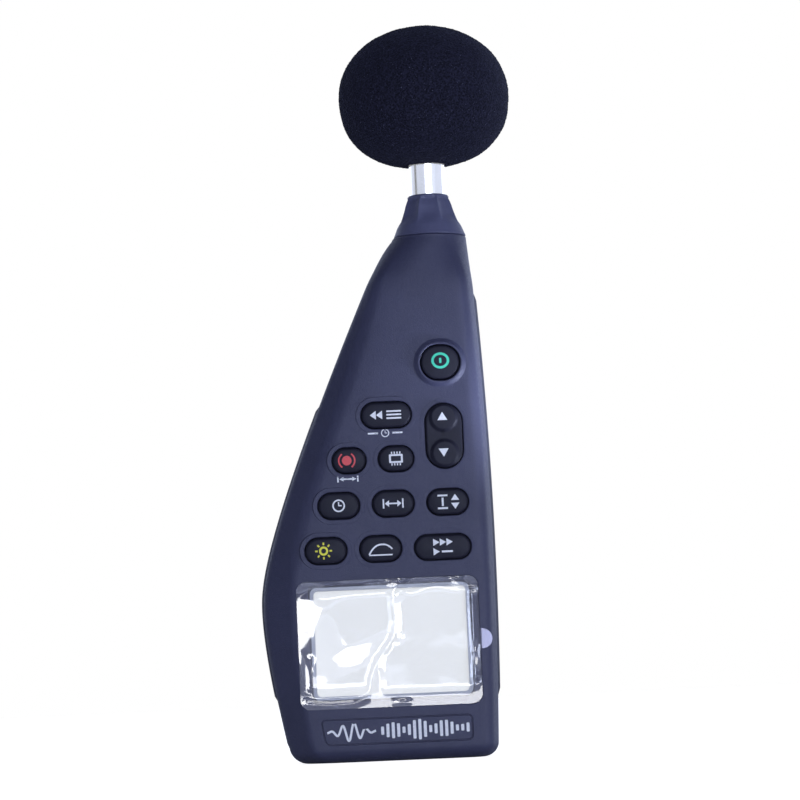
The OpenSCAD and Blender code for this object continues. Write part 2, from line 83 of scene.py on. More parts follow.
VIEW_W, VIEW_H = 55.0, 38.0
BORE_R = 6.66
VIEW_C = middle_xz("lcd_glass")

# Keys: centre x and z, width and height of the opening in the case
KEYS = {
    "key_power": (1.5, 143.0, 14.8, 13.3),
    "key_recall": (-18.9, 124.7, 18.7, 10.0),
    "key_up_down": (1.8, 116.3, 13.9, 24.0),
    "key_record": (-33.0, 108.7, 12.7, 9.8),
    "key_memory": (-16.0, 108.7, 13.3, 9.8),
    "key_clock": (-37.4, 92.5, 15.5, 10.0),
    "key_interval": (-17.7, 92.5, 15.6, 10.0),
    "key_min_max": (2.0, 92.3, 15.5, 10.0),
    "key_backlight": (-42.7, 76.4, 15.6, 10.0),
    "key_weighting": (-22.9, 76.4, 15.6, 10.0),
    "key_response": (-0.5, 76.1, 20.9, 9.6),
}
KEY_GAP = 0.4
KEY_PROUD = 1.35
COLLAR_W = 1.9
COLLAR_H = 0.03
POWER_COLLAR_W = 2.15
POWER_COLLAR_H = 1.0
FLANGE_Y = -13.15


# Brightness of the room's parts, and power of the lights in watts
ROOM_LEFT, ROOM_RIGHT, SKY_LEVEL, BAND_LEVEL, REAR_LEVEL = 0.01, 0.14, 0.12, 1.0, 0.9
KEY_W, LOW_W, RAKE_W, FRONT_W, RIM_RIGHT_W, RIM_LEFT_W = 0.75, 0.50, 0.011, 6.9, 1.6, 0.15
FILM_LEFT_W, FILM_LOW_W, FILM_TOP_W = 2.3, 0.12, 0.8
# Strength of the display's emission: a painted glow that brightens the panel
DISPLAY_PAINTED_GLOW = 0.64
FROSTED_FROM = 11.9      # beyond this x the film is frosted


# ------------------------------------------------------------- mesh tools ----
def link(obj):
    bpy.context.scene.collection.objects.link(obj)
    return obj


def mesh_object(name, verts, faces, smooth=32.0):
    """Makes an object from points in millimetres."""
    mesh = bpy.data.meshes.new(name)
    mesh.from_pydata((np.asarray(verts, float) * MM).tolist(), [], faces)
    mesh.update()
    obj = link(bpy.data.objects.new(name, mesh))
    tidy_mesh(obj)
    shade(obj, smooth)
    return obj


def tidy_mesh(obj):
    """Merges doubled points and turns all faces outwards."""
    bm = bmesh.new()
    bm.from_mesh(obj.data)
    bmesh.ops.remove_doubles(bm, verts=bm.verts, dist=1e-6)
    bmesh.ops.dissolve_degenerate(bm, edges=bm.edges, dist=1e-7)
    bmesh.ops.recalc_face_normals(bm, faces=bm.faces)
    bm.to_mesh(obj.data)
    bm.free()


def shade(obj, angle):
    obj.data.shade_smooth()
    obj.data.set_sharp_from_angle(angle=math.radians(angle))


def loft(rings, cap=True):
    """Points and faces of a tube through rings of equal length."""
    rings = np.asarray(rings, float)
    count, around = rings.shape[:2]
    verts = rings.reshape(-1, 3)
    faces = []
    for i in range(count - 1):
        for j in range(around):
            k = (j + 1) % around
            faces.append((i * around + j, i * around + k, (i + 1) * around + k, (i + 1) * around + j))
    if cap:
        faces.append(tuple(range(around - 1, -1, -1)))
        faces.append(tuple((count - 1) * around + j for j in range(around)))
    return verts, faces


def boolean(obj, other, operation):
    """Applies a boolean and deletes the other object."""
    mod = obj.modifiers.new("cut", "BOOLEAN")
    mod.operation = operation
    mod.solver = "MANIFOLD"
    mod.object = other
    graph = bpy.context.evaluated_depsgraph_get()
    mesh = bpy.data.meshes.new_from_object(obj.evaluated_get(graph))
    obj.modifiers.clear()
    obj.data = mesh
    bpy.data.objects.remove(other)
    return obj


def cut(obj, *others):
    for other in others:
        boolean(obj, other, "DIFFERENCE")
    return obj


def add(obj, *others):
    for other in others:
        boolean(obj, other, "UNION")
    return obj


def box_object(low, high):
    x, y, z = zip(low, high)
    verts = [(x[i], y[j], z[k]) for i in (0, 1) for j in (0, 1) for k in (0, 1)]
    faces = [(0, 1, 3, 2), (4, 6, 7, 5), (0, 4, 5, 1), (2, 3, 7, 6), (0, 2, 6, 4), (1, 5, 7, 3)]
    return mesh_object("box", verts, faces)


def stadium_loop(x, z, w, h, grow=0.0, around=96):
    """Outline of a rounded bar with two half-round ends, seen from the front."""
    r0 = min(w, h) / 2
    r = max(r0 + grow, 1e-4)
    straight, arc_len = abs(w - h), math.pi * r0
    s = (np.arange(around) + 0.5) / around * 2 * (straight + arc_len)
    half, s = s >= straight + arc_len, s % (straight + arc_len)
    on_arc = s < arc_len
    angle = np.where(on_arc, s / r0, math.pi) - math.pi / 2
    along = straight / 2 - np.where(on_arc, 0, s - arc_len)
    px, pz = along + r * np.cos(angle), r * np.sin(angle)
    px, pz = np.where(half, -px, px), np.where(half, -pz, pz)
    if h > w:
        px, pz = -pz, px
    return np.stack([x + px, z + pz], axis=1)


def rect_loop(x, z, w, h, r, around=64):
    """Outline of a rectangle with round corners, seen from the front."""
    angles = (np.arange(around) + 0.5) * TURN / around
    cx = np.where(np.cos(angles) > 0, 1, -1) * (w / 2 - r)
    cz = np.where(np.sin(angles) > 0, 1, -1) * (h / 2 - r)
    return np.stack([x + cx + r * np.cos(angles), z + cz + r * np.sin(angles)], axis=1)


def circle(x, z, r, around=48, rz=None):
    """Outline of a circle, or of an oval that is rz high."""
    angles = np.arange(around) * TURN / around
    return np.stack([x + r * np.cos(angles), z + (rz or r) * np.sin(angles)], axis=1)


def at_depth(loop, y):
    """Places an outline seen from the front at depth y."""
    return np.stack([loop[:, 0], np.broadcast_to(y, len(loop)), loop[:, 1]], axis=1)


def at_height(loop, z):
    """Places an outline seen from above at height z."""
    return np.column_stack([loop, np.full(len(loop), z)])


def smoothstep(x, low=0.0, high=1.0):
    t = np.clip((x - low) / (high - low), 0, 1)
    return t * t * (3 - 2 * t)


def bezier(points, t):
    p = [np.asarray(q, float) for q in points]
    t = np.asarray(t)[:, None]
    s = 1 - t
    return s ** 3 * p[0] + 3 * s * s * t * p[1] + 3 * s * t * t * p[2] + t ** 3 * p[3]


def revolve(profile, around):
    """Rings of a body of revolution about the microphone axis."""
    return [at_height(circle(0, 0, r, around), z) for r, z in profile]


# -------------------------------------------------------------- materials ----
class Shader:
    """A Principled material with a few helpers for procedural detail."""

    def __init__(self, name, colour, roughness, metallic=0.0, **inputs):
        self.mat = bpy.data.materials.new(name)
        self.mat.use_nodes = True
        self.tree = self.mat.node_tree
        self.bsdf = self.tree.nodes["Principled BSDF"]
        self.out = self.tree.nodes["Material Output"]
        self.mat.diffuse_color = (*colour, 1)
        self.set(self.bsdf, Base_Color=(*colour, 1), Roughness=roughness, Metallic=metallic, **inputs)
        self.coords = self.node("ShaderNodeTexCoord").outputs["Object"]
        self.last_normal = None

    def node(self, kind, **inputs):
        node = self.tree.nodes.new(kind)
        self.set(node, **inputs)
        return node

    def set(self, node, **inputs):
        for key, value in inputs.items():
            socket = node.inputs[key.replace("_", " ")]
            if isinstance(value, bpy.types.NodeSocket):
                self.link(value, socket)
            else:
                socket.default_value = value

    def link(self, a, b):
        self.tree.links.new(a, b)

    def noise(self, scale, detail=2.0, rough=0.5, stretch=None):
        vector = self.coords
        if stretch:
            vector = self.node("ShaderNodeMapping", Vector=vector, Scale=stretch).outputs["Vector"]
        tex = self.node("ShaderNodeTexNoise", Vector=vector, Scale=scale, Detail=detail, Roughness=rough)
        return tex.outputs["Fac"]

    def cells(self, scale):
        return self.node("ShaderNodeTexVoronoi", Vector=self.coords, Scale=scale).outputs["Distance"]

    def spread(self, value, low, high, from_low=0.0, from_high=1.0):
        limits = {"From_Min": from_low, "From_Max": from_high, "To_Min": low, "To_Max": high}
        return self.node("ShaderNodeMapRange", Value=value, **limits).outputs["Result"]

    def mix(self, factor, a, b):
        node = self.node("ShaderNodeMix")
        node.data_type = "RGBA"
        self.link(factor, node.inputs[0])
        for value, socket in ((a, node.inputs[6]), (b, node.inputs[7])):
            if isinstance(value, bpy.types.NodeSocket):
                self.link(value, socket)
            else:
                socket.default_value = (*value, 1)
        return node.outputs[2]

    def axis(self, name):
        """One coordinate of the point that is shaded, in metres."""
        return self.node("ShaderNodeSeparateXYZ", Vector=self.coords).outputs[name]

    def paint(self, colour):
        self.link(colour, self.bsdf.inputs["Base Color"])

    def bump(self, height, distance, strength=1.0):
        node = self.node("ShaderNodeBump", Height=height, Distance=distance * MM, Strength=strength)
        if self.last_normal:
            self.link(self.last_normal, node.inputs["Normal"])
        self.last_normal = node.outputs["Normal"]
        self.link(self.last_normal, self.bsdf.inputs["Normal"])

    def vary_colour(self, scale, a, b):
        self.paint(self.mix(self.spread(self.noise(scale, 3), 0, 1, 0.3, 0.7), a, b))

    def vary_roughness(self, scale, low, high):
        self.link(self.spread(self.noise(scale, 3), low, high, 0.3, 0.7), self.bsdf.inputs["Roughness"])


def moulded_plastic(name, a, b, rough, grain):
    """Textured ABS: spark-eroded grain with faint cloudiness."""
    s = Shader(name, a, rough[0])
    s.vary_colour(70, a, b)
    s.vary_roughness(900, *rough)
    s.bump(s.noise(3800, 2, 0.6), grain)
    s.bump(s.noise(1500, 2, 0.6), grain * 0.8)
    s.bump(s.noise(260, 2), 0.012)
    return s.mat


def soft_rubber(name, a, b, rough, grain, shine=0.5):
    s = Shader(name, a, rough[0], Specular_IOR_Level=shine)
    s.vary_colour(220, a, b)
    s.vary_roughness(1600, *rough)
    s.bump(s.noise(5200, 2, 0.6), grain)
    return s.mat


def polished_metal(name, colour, rough, lines, stretch=60, painted_glow=0.0):
    """Metal with fine drawing lines along Z, and an optional white emission: a painted glow that stands in for
    bright reflections.
    """
    s = Shader(name, colour, rough[0], metallic=1.0, Emission_Color=(1, 1, 1, 1), Emission_Strength=painted_glow)
    s.vary_roughness(300, *rough)
    s.bump(s.noise(120, 3, 0.6, stretch=(1, 1, stretch)), lines)
    return s.mat


def printed_ink(name, colour):
    s = Shader(name, colour, 0.5)
    s.vary_colour(1500, colour, tuple(0.86 * c for c in colour))
    s.bump(s.noise(4000, 2), 0.01)
    return s.mat


def foam_material():
    """Open-cell foam: painted shade darkens the pores against lighter cell walls, and a few glints are painted
    highlights.
    """
    s = Shader("foam", (0.012, 0.013, 0.028), 0.9, Specular_IOR_Level=0.12,
               Sheen_Weight=0.06, Sheen_Roughness=0.5, Sheen_Tint=(0.5, 0.55, 0.95, 1))
    pores, walls = s.cells(1350), s.noise(2400, 3, 0.7)
    # Painted shade: the colour darkens towards the middle of each pore, where shade falls in the cavity.
    pore_shade = s.spread(pores, 0.0, 1.0, 0.1, 0.8)
    colour = s.mix(pore_shade, (0.003, 0.003, 0.006), (0.019, 0.019, 0.038))
    # Painted highlight: scattered lighter specks mixed into the colour.
    painted_glint = s.spread(s.noise(1900, 2, 0.8), 0.0, 1.0, 0.66, 0.74)
    s.paint(s.mix(painted_glint, colour, (0.16, 0.165, 0.24)))
    s.bump(pores, 0.5, 0.8)
    s.bump(walls, 0.25, 0.6)
    return s.mat


def clear_sheet(name, tint, haze, rough, ior=1.5, frosted_from=None):
    """Thin clear plastic: see-through, with sharp reflections and a little haze."""
    s = Shader(name, tint, rough, IOR=1.49, Specular_IOR_Level=0.6)
    clear = s.node("ShaderNodeBsdfTransparent", Color=(0.985, 0.99, 0.995, 1))
    gloss = s.node("ShaderNodeBsdfGlossy", Roughness=rough)
    # The same share is mirrored at the inner side, as the sheet bends no rays
    inner = s.node("ShaderNodeNewGeometry").outputs["Backfacing"]
    fresnel = s.node("ShaderNodeFresnel", IOR=s.spread(inner, ior, 1 / ior))
    veil = s.node("ShaderNodeMixShader", Fac=haze)
    if frosted_from:
        frost = s.spread(s.axis("X"), haze, 0.30, frosted_from * MM, (frosted_from + 0.4) * MM)
        s.link(frost, veil.inputs["Fac"])
    sheen = s.node("ShaderNodeMixShader", Fac=fresnel.outputs[0])
    for mixer, under, over in ((veil, clear, s.bsdf), (sheen, veil, gloss)):
        s.link(under.outputs[0], mixer.inputs[1])
        s.link(over.outputs[0], mixer.inputs[2])
    s.link(sheen.outputs[0], s.out.inputs["Surface"])
    return s.mat


# The display's emission is a painted glow: it brightens the panel in place of light falling on it.
def display_material():
    s = Shader("display", (0.70, 0.70, 0.62), 0.25,
               Emission_Color=(1.0, 0.975, 0.92, 1), Emission_Strength=DISPLAY_PAINTED_GLOW)
    s.vary_colour(12, (0.72, 0.72, 0.64), (0.66, 0.67, 0.61))
    s.bump(s.noise(3000, 1), 0.004)
    return s.mat


def board_material():
    s = Shader("circuit_board", (0.02, 0.14, 0.06), 0.35)
    traces = s.node("ShaderNodeTexBrick", Vector=s.coords, Scale=260.0).outputs["Fac"]
    s.paint(s.mix(traces, (0.02, 0.16, 0.07), (0.012, 0.10, 0.045)))
    s.bump(traces, 0.02)
    return s.mat


def cell_material():
    """Battery wrap: dark body, a copper band at one end."""
    s = Shader("cell_wrap", (0.05, 0.05, 0.055), 0.3, metallic=0.6)
    band = s.spread(s.axis("Z"), 0, 1, 0.0519, 0.0521)
    s.paint(s.mix(band, (0.03, 0.03, 0.035), (0.42, 0.20, 0.07)))
    s.bump(s.noise(500, 2), 0.01)
    return s.mat


CASE_A, CASE_B = (0.037, 0.039, 0.082), (0.042, 0.044, 0.092)
MATERIALS = {
    "case": moulded_plastic("case_plastic", CASE_A, CASE_B, (0.46, 0.60), 0.09),
    "cone": moulded_plastic("cone_plastic", (0.082, 0.086, 0.160), (0.090, 0.095, 0.175), (0.42, 0.55), 0.04),
    "grip": soft_rubber("grip_rubber", (0.029, 0.031, 0.056), (0.034, 0.036, 0.064), (0.42, 0.52), 0.05),
    "key": soft_rubber("key_rubber", (0.011, 0.011, 0.021), (0.014, 0.014, 0.027), (0.42, 0.55), 0.03, 0.22),
    "seal": soft_rubber("seal_rubber", (0.01, 0.01, 0.01), (0.02, 0.02, 0.02), (0.5, 0.7), 0.03),
    "mat": soft_rubber("mat_rubber", (0.05, 0.055, 0.065), (0.07, 0.07, 0.08), (0.5, 0.7), 0.03),
    # The chrome's emission is a painted glow that makes the microphone tube look bright, in place of reflected
    # light.
    "chrome": polished_metal("chrome", (0.80, 0.79, 0.78), (0.15, 0.18), 0.001, 40, 0.24),
    "steel": polished_metal("steel", (0.42, 0.43, 0.45), (0.28, 0.42), 0.01),
    "brass": polished_metal("brass", (0.72, 0.52, 0.22), (0.22, 0.35), 0.01),
    "foam": foam_material(),
    "window": clear_sheet("window_clear", (0.8, 0.82, 0.85), 0.02, 0.02),
    "film": clear_sheet("film_clear", (0.62, 0.64, 0.92), 0.03, 0.07, 1.7, FROSTED_FROM),
    "display": display_material(),
    "guide": moulded_plastic("light_guide", (0.75, 0.76, 0.78), (0.7, 0.7, 0.72), (0.3, 0.4), 0.01),
    "dark": moulded_plastic("dark_plastic", (0.012, 0.012, 0.014), (0.018, 0.018, 0.02), (0.4, 0.55), 0.03),
    "ceramic": moulded_plastic("insulator_white", (0.7, 0.68, 0.6), (0.62, 0.6, 0.55), (0.3, 0.4), 0.01),
    "board": board_material(),
    "cell": cell_material(),
    "wire": soft_rubber("wire_red", (0.35, 0.02, 0.015), (0.28, 0.02, 0.015), (0.4, 0.5), 0.02),
    "trimmer": moulded_plastic("trimmer_blue", (0.02, 0.05, 0.28), (0.02, 0.04, 0.24), (0.3, 0.4), 0.01),
    "white": printed_ink("ink_white", (0.86, 0.87, 0.90)),
    "red": printed_ink("ink_red", (0.80, 0.08, 0.09)),
    "yellow": printed_ink("ink_yellow", (0.85, 0.80, 0.05)),
    "green": printed_ink("ink_green", (0.05, 0.72, 0.45)),
}

CAD_LOOKS = {
    "chrome": ("mic_tube", "mic_housing", "mic_grid"),
    "seal": ("tube_seal", "zebra_strip", "mic_cable"),
    "board": ("preamp_board", "main_board"),
    "dark": ("lcd_frame", "board_chips", "power_jack", "output_jack"),
    "steel": ("mic_diaphragm", "board_screws", "battery_springs", "battery_plates", "case_screws", "data_port"),
    "brass": ("mic_backplate", "tripod_insert", "cal_screw"),
    "ceramic": ("mic_insulator",), "window": ("lcd_window",), "display": ("lcd_glass",),
    "guide": ("lcd_backlight",), "mat": ("keypad_mat",), "cell": ("battery_cells",),
    "wire": ("battery_leads",), "trimmer": ("cal_trimmer",),
}


def dress_cad_nodes():
    for look, nodes in CAD_LOOKS.items():
        for node in nodes:
            slots = frame["nodes"][node].data.materials
            slots.clear()
            slots.append(MATERIALS[look])


# ------------------------------------------------------------------- case ----
SHOULDER, BELLY, LEFT_FOOT = (-24.7, 172.0), (-66.4, 56.0), (-59.2, 4.6)
LEFT_CORNER_R, RIGHT_CORNER_R, RIGHT_CORNER_X = 7.0, 5.5, 11.4
BOW_X, BOW_Z, BOW_R = 18.15, 70.0, 1609.0
RIDGE_TOP, RIDGE_SIDE = (-20.0, 176.0), (-55.6, 52.0)
BEVEL_W = 2.7


def curve_x(*pieces):
    """x of a curve at a given height, from bezier pieces that fall from top to bottom."""
    points = np.concatenate([bezier(p, np.linspace(0, 1, 80)) for p in pieces])
    points = points[np.argsort(points[:, 1])]
    return lambda z: np.interp(z, points[:, 1], points[:, 0])


left_curve = curve_x(
    ((-13.3, CASE_H), (-18.3, 186.0), (-21.8, 178.3), SHOULDER),
    (SHOULDER, (-66.5, 80.0), (-66.4, 64.0), BELLY),
    (BELLY, (-66.4, 40.0), (-61.2, 14.6), LEFT_FOOT),
)
ridge_curve = curve_x(
    (RIDGE_TOP, (-45.5, 91.0), (-55.6, 92.0), RIDGE_SIDE),
    (RIDGE_SIDE, (-55.6, 36.0), (-53.0, 20.0), (-51.0, 8.0)),
)


def left_x(z):
    c = LEFT_FOOT[0] + LEFT_CORNER_R
    corner = c - np.sqrt(max(LEFT_CORNER_R ** 2 - (LEFT_CORNER_R - z) ** 2, 0))
    return float(max(left_curve(z), corner) if z < LEFT_CORNER_R else left_curve(z))


def right_x(z):
    bow = BOW_X - (z - BOW_Z) ** 2 / (2 * BOW_R)
    bow -= (BOW_X - (CASE_H - BOW_Z) ** 2 / (2 * BOW_R) - NOSE_R) * smoothstep(z, 170, CASE_H)
    if z < RIGHT_CORNER_R:
        bow = min(bow, RIGHT_CORNER_X + math.sqrt(RIGHT_CORNER_R ** 2 - (RIGHT_CORNER_R - z) ** 2))
    return float(bow)


def ridge_x(z):
    if z < 8:
        return left_x(z) + (ridge_curve(8) - left_x(8))
    if z > RIDGE_TOP[1]:
        return left_x(z) + (ridge_curve(RIDGE_TOP[1]) - left_x(RIDGE_TOP[1]))
    return float(ridge_curve(z))


def quarter_round(z, height):
    """Falls from 1 to 0 along a quarter circle as z falls from height to 0."""
    return math.sqrt(max(1 - (1 - min(z / height, 1)) ** 2, 0))


def front_y(z):
    if z < 5:
        return -(BAND_FRONT + (-FRONT_Y - BAND_FRONT) * quarter_round(z, 5))
    t = max((z - 168) / (CASE_H - 168), 0)
    return FRONT_Y + (-FRONT_Y - NOSE_R) * t ** 2


def back_y(z):
    if z < 6:
        return BAND_BACK + (BACK_Y - BAND_BACK) * quarter_round(z, 6)
    t = max((z - 150) / (CASE_H - 150), 0)
    return BACK_Y - (BACK_Y - NOSE_R) * t ** 1.6


def face_sag(z):
    """How far the front face lies back at its left ridge."""
    return 0.2 + 1.9 * float(smoothstep(z, 122, 160))


def soften(corners, tangents, edge_points, corner_points):
    """Closed outline through corners, each rounded over its own tangent length."""
    corners = np.asarray(corners, float)
    before, after = (np.roll(corners, shift, axis=0) - corners for shift in (1, -1))
    l0, l1 = (np.linalg.norm(way, axis=1)[:, None] for way in (before, after))
    reach = np.minimum(np.array(tangents)[:, None], 0.48 * np.minimum(l0, l1))
    starts, ends = corners + before * reach / l0, corners + after * reach / l1
    outline = []
    for i, count in enumerate(edge_points):
        for t in np.linspace(0, 1, corner_points):
            outline.append((1 - t) ** 2 * starts[i] + 2 * t * (1 - t) * corners[i] + t * t * ends[i])
        for t in np.linspace(0, 1, count + 2)[1:-1]:
            outline.append(ends[i] * (1 - t) + starts[(i + 1) % len(starts)] * t)
    return np.array(outline)


def case_ring(z, inset=0.0):
    """Horizontal section of the case at height z."""
    xl, xr = left_x(z) + inset, right_x(z) - inset
    yf, yb = front_y(z) + inset, back_y(z) - inset
    band_f = BAND_FRONT * yf / FRONT_Y
    band_b = BAND_BACK * yb / BACK_Y
    left_ridge = ridge_x(z) + 0.5 * inset
    right_ridge = right_x(z) - BEVEL_W - 0.5 * inset
    soft = 2.0 + 1.5 * float(smoothstep(z, 64, 76))
    sag, crown = face_sag(z), 0.5 * float(smoothstep(z, 69, 75))
    corners = [
        (xl, -band_f), (left_ridge, yf + sag + crown), (right_ridge, yf + crown), (xr, -band_f),
        (xr, band_b), (xr - 5, yb), (xl + 5, yb), (xl, band_b),
    ]
    ring = soften(corners, (2.5, soft, 3.2, 4.0, 4, 3, 3, 4), (3, 40, 3, 8, 3, 20, 3, 8), 11)
    # The front face falls away near its ridges, and higher up towards the left
    width = max(right_ridge - left_ridge, 1)
    u = np.clip((ring[:, 0] - left_ridge) / width, 0, 1)
    straight = yf + crown + sag * (1 - u)
    bulged = yf + sag * (1 - u) ** 2 + crown * (np.clip(1 - u * width / 11, 0, 1) ** 2
                                               + np.clip(1 - (1 - u) * width / 5, 0, 1) ** 2)
    near = np.clip(straight + 1 - ring[:, 1], 0, 1)
    ring[:, 1] += (bulged - straight) * near
    # The section turns into an ellipse, and at the nose into a circle
    w = float(smoothstep(z, 172, CASE_H))
    xc, a = (xl + xr) / 2, (xr - xl) / 2
    half = np.where(ring[:, 1] < 0, -yf, yb)
    unit = np.stack([(ring[:, 0] - xc) / a, ring[:, 1] / half], axis=1)
    unit = unit * (1 - w) + unit / np.linalg.norm(unit, axis=1)[:, None] * w
    return at_height(np.stack([xc + unit[:, 0] * a, unit[:, 1] * half], axis=1), z)


def case_solid(inset=0.0):
    if inset:
        levels = np.concatenate([[inset, inset + 1.5], np.linspace(6, 168, 40), np.linspace(172, CASE_H, 9)])
        rings = [case_ring(z, inset) for z in levels]
        rings.append(rings[-1] + [0, 0, 2])
    else:
        levels = np.concatenate([5 * (1 - np.cos(np.linspace(0, math.pi / 2, 12))),
                                 np.linspace(6, 168, 90), np.linspace(169, CASE_H - 0.8, 24)])
        rings = [case_ring(z) for z in levels]
        # Small chamfer at the seam of the nose cone
        for shrink, z in ((1.0, CASE_H - 0.45), (0.965, CASE_H)):
            rings.append(at_height(rings[-1][:, :2] * shrink, z))
    return mesh_object("case", *loft(rings))


def prism(loop, low, high):
    return mesh_object("prism", *loft([at_depth(loop, low), at_depth(loop, high)]))


def key_ring(name, grow, y, around=96):
    """Outline of a key's opening, widened by grow, at depth y."""
    return at_depth(stadium_loop(*KEYS[name], grow, around), y)


def key_hole(name):
    """Cutter of a key opening, with a rounded lip."""
    top = FRONT_Y - (POWER_COLLAR_H if name == "key_power" else COLLAR_H)
    lip = 0.3
    rings = [key_ring(name, lip + 1.0, top - 1.0)]
    for a in np.radians([0, 30, 60, 90]):
        rings.append(key_ring(name, lip * (1 - math.sin(a)), top + lip * (1 - math.cos(a))))
    rings.append(key_ring(name, 0, -12))
    return mesh_object("hole", *loft(rings))


def key_collar(name):
    """Flat raised rim that stands where the face falls away; the power key has a bulging one."""
    power = name == "key_power"
    width, top = (POWER_COLLAR_W, FRONT_Y + 0.05) if power else (COLLAR_W, FRONT_Y - COLLAR_H)
    rings = [key_ring(name, width, FRONT_Y + 1.4), key_ring(name, width, top + (0 if power else 0.6))]
    if power:
        for u in np.linspace(0.06, 1, 14):
            rise = (POWER_COLLAR_H + 0.05) * float(1.25 * u - 0.25 * u ** 5) ** 1.15
            rings.append(key_ring(name, width - 1.75 * u, top - rise))
    else:
        for a in np.radians([20, 45, 70, 90]):
            rings.append(key_ring(name, width - 0.35 * math.sin(a), top + 0.6 * (1 - math.sin(a))))
    return mesh_object("collar", *loft(rings))


def side_patch(side, z0, z1, y0, y1, out, sunk, round_by=0.0):
    """Strip that follows the side of the case, between two offsets from it."""
    side_x = left_x if side < 0 else right_x

    def fall(distance):
        return round_by * (1 - quarter_round(distance, 1.2))

    rings = []
    for z in np.linspace(z0, z1, 60):
        x, lift = side_x(z), out - fall(min(z - z0, z1 - z))
        ys = np.linspace(y0, y1, 15)
        rings.append([(x + side * (lift - fall(min(y - y0, y1 - y))), y, z) for y in ys]
                     + [(x - side * sunk, y1, z), (x - side * sunk, y0, z)])
    return mesh_object("side_strip", *loft(rings))


GRIP_Y = (-6.5, 8.0)
GRIPS = (("left_grip", -1, (23.0, 130.0)), ("right_grip", 1, (22.0, 169.0)))


def grip_recesses():
    return [side_patch(side, *grip_z, *GRIP_Y, 1.5, 0.85) for _, side, grip_z in GRIPS]


def build_front_shell():
    shell = case_solid()
    add(shell, *[key_collar(name) for name in KEYS])
    cut(shell, case_solid(WALL))
    add(shell, prism(rect_loop(*VIEW_C, VIEW_W + 9, VIEW_H + 8, 3), WINDOW_HIGH[1] + 0.02, -13.7))
    cut(shell, box_object((-90, -SEAM_GAP, -5), (60, 60, 200)))
    cut(shell, *[key_hole(name) for name in KEYS])
    wx, wz = middle_xz("lcd_window")
    ww, wh = (WINDOW_HIGH - WINDOW_LOW)[[0, 2]]
    pocket = [at_depth(rect_loop(wx, wz, ww + wider, wh + wider, r), y)
              for wider, r, y in ((2.3, 4.4, FRONT_Y - 1), (0.5, 3.9, FRONT_Y), (0.1, 3.65, FRONT_Y + 0.25),
                                  (0.1, 3.65, WINDOW_HIGH[1] + 0.05))]
    cut(shell, mesh_object("pocket", *loft(pocket)))
    cut(shell, prism(rect_loop(*VIEW_C, VIEW_W + 4, VIEW_H + 4, 1.5), FRONT_Y - 1, -12))
    cut(shell, *grip_recesses())
    cut(shell, label_groove())
    cut(shell, *connector_holes())
    return finish_piece(shell, "front_shell_skin", "case", "front_shell")


LABEL = (-19.4, 11.1, 54.2, 9.6)


def label_groove():
    """Shallow frame around the field for a name plate, its left side leaning."""
    x, z, w, h = LABEL

    rings = []
    for slimmer, r, y in ((0, 2.0, -0.5), (0, 2.0, 0), (0.4, 1.8, 0.55), (0.9, 1.6, 0.55), (1.3, 1.4, 0),
                          (1.3, 1.4, -0.5)):
        loop = rect_loop(x, z, w - slimmer, h - slimmer, r)
        loop[:, 0] += np.where(loop[:, 0] < x, (z - loop[:, 1]) * 0.18, 0)
        rings.append(at_depth(loop, FRONT_Y + y))
    return mesh_object("groove", *loft(rings + rings[:1], cap=False))


def cylinder_z(x, y, r, z0, z1):
    return mesh_object("cylinder", *loft([at_height(circle(x, y, r), z) for z in (z0, z1)]))


def cylinder_y(x, z, r, y0, y1):
    return prism(circle(x, z, r), y0, y1)


def connector_holes():
    holes = [cylinder_z(middle_xz(node)[0], -3.3, r, -1, WALL + 1)
             for node, r in (("output_jack", 3.1), ("power_jack", 3.1), ("cal_screw", 1.7))]
    low, high = node_box("data_port")
    holes.append(box_object((low[0] - 0.1, low[1] - 0.1, -1), (high[0] + 0.1, high[1] + 0.1, WALL + 1)))
    return holes


CASE_SCREWS = ((-14.5, 166), (8.5, 166), (-52, 88), (10.6, 84.2), (-49.5, 8), (3.5, 8))
HEAD_SEAT = 9.0
DOOR_LOW, DOOR_HIGH = node_box("battery_door")
DOOR_X = (DOOR_LOW[0] + 1.2, DOOR_HIGH[0] - 1.2)


def build_rear_shell():
    shell = case_solid()
    cut(shell, case_solid(WALL))
    for x, z in CASE_SCREWS:
        add(shell, cylinder_y(x, z, 4.4, 0.5, BACK_Y - WALL + 0.1))
    boolean(shell, case_solid(), "INTERSECT")
    insert, insert_y = middle_xz("tripod_insert"), node_box("tripod_insert")[0][1]
    add(shell, cylinder_y(*insert, 6.6, insert_y - 1.6, BACK_Y - 1))
    box_low, box_high = (DOOR_X[0] - 0.3, 0.3, 11.8), (DOOR_X[1] + 0.3, BACK_Y - WALL + 0.3, 69.8)
    add(shell, box_object(box_low, box_high))
    cut(shell, box_object((box_low[0] + 1.2, 1.1, 13), (box_high[0] - 1.2, BACK_Y + 1, 68.6)))
    cut(shell, box_object((-90, -60, -5), (60, SEAM_GAP, 200)))
    # The door's opening, then the grooves that its tongues slide in
    inner_y = BACK_Y - WALL
    for wider, y0, y1, z in ((0.15, BAND_BACK, BACK_Y + 1, -1), (1.35, inner_y - 0.05, inner_y + 1.1, 13)):
        cut(shell, box_object((DOOR_X[0] - wider, y0, z), (DOOR_X[1] + wider, y1, DOOR_HIGH[2] + 0.15)))
    for x, z in CASE_SCREWS:
        cut(shell, cylinder_y(x, z, 1.65, -1, BACK_Y))
        cut(shell, cylinder_y(x, z, 3.1, HEAD_SEAT, BACK_Y + 1))
    cut(shell, cylinder_y(*insert, 5.02, insert_y, BACK_Y + 1))
    cut(shell, *grip_recesses())
    return finish_piece(shell, "rear_shell_skin", "case", "rear_shell")


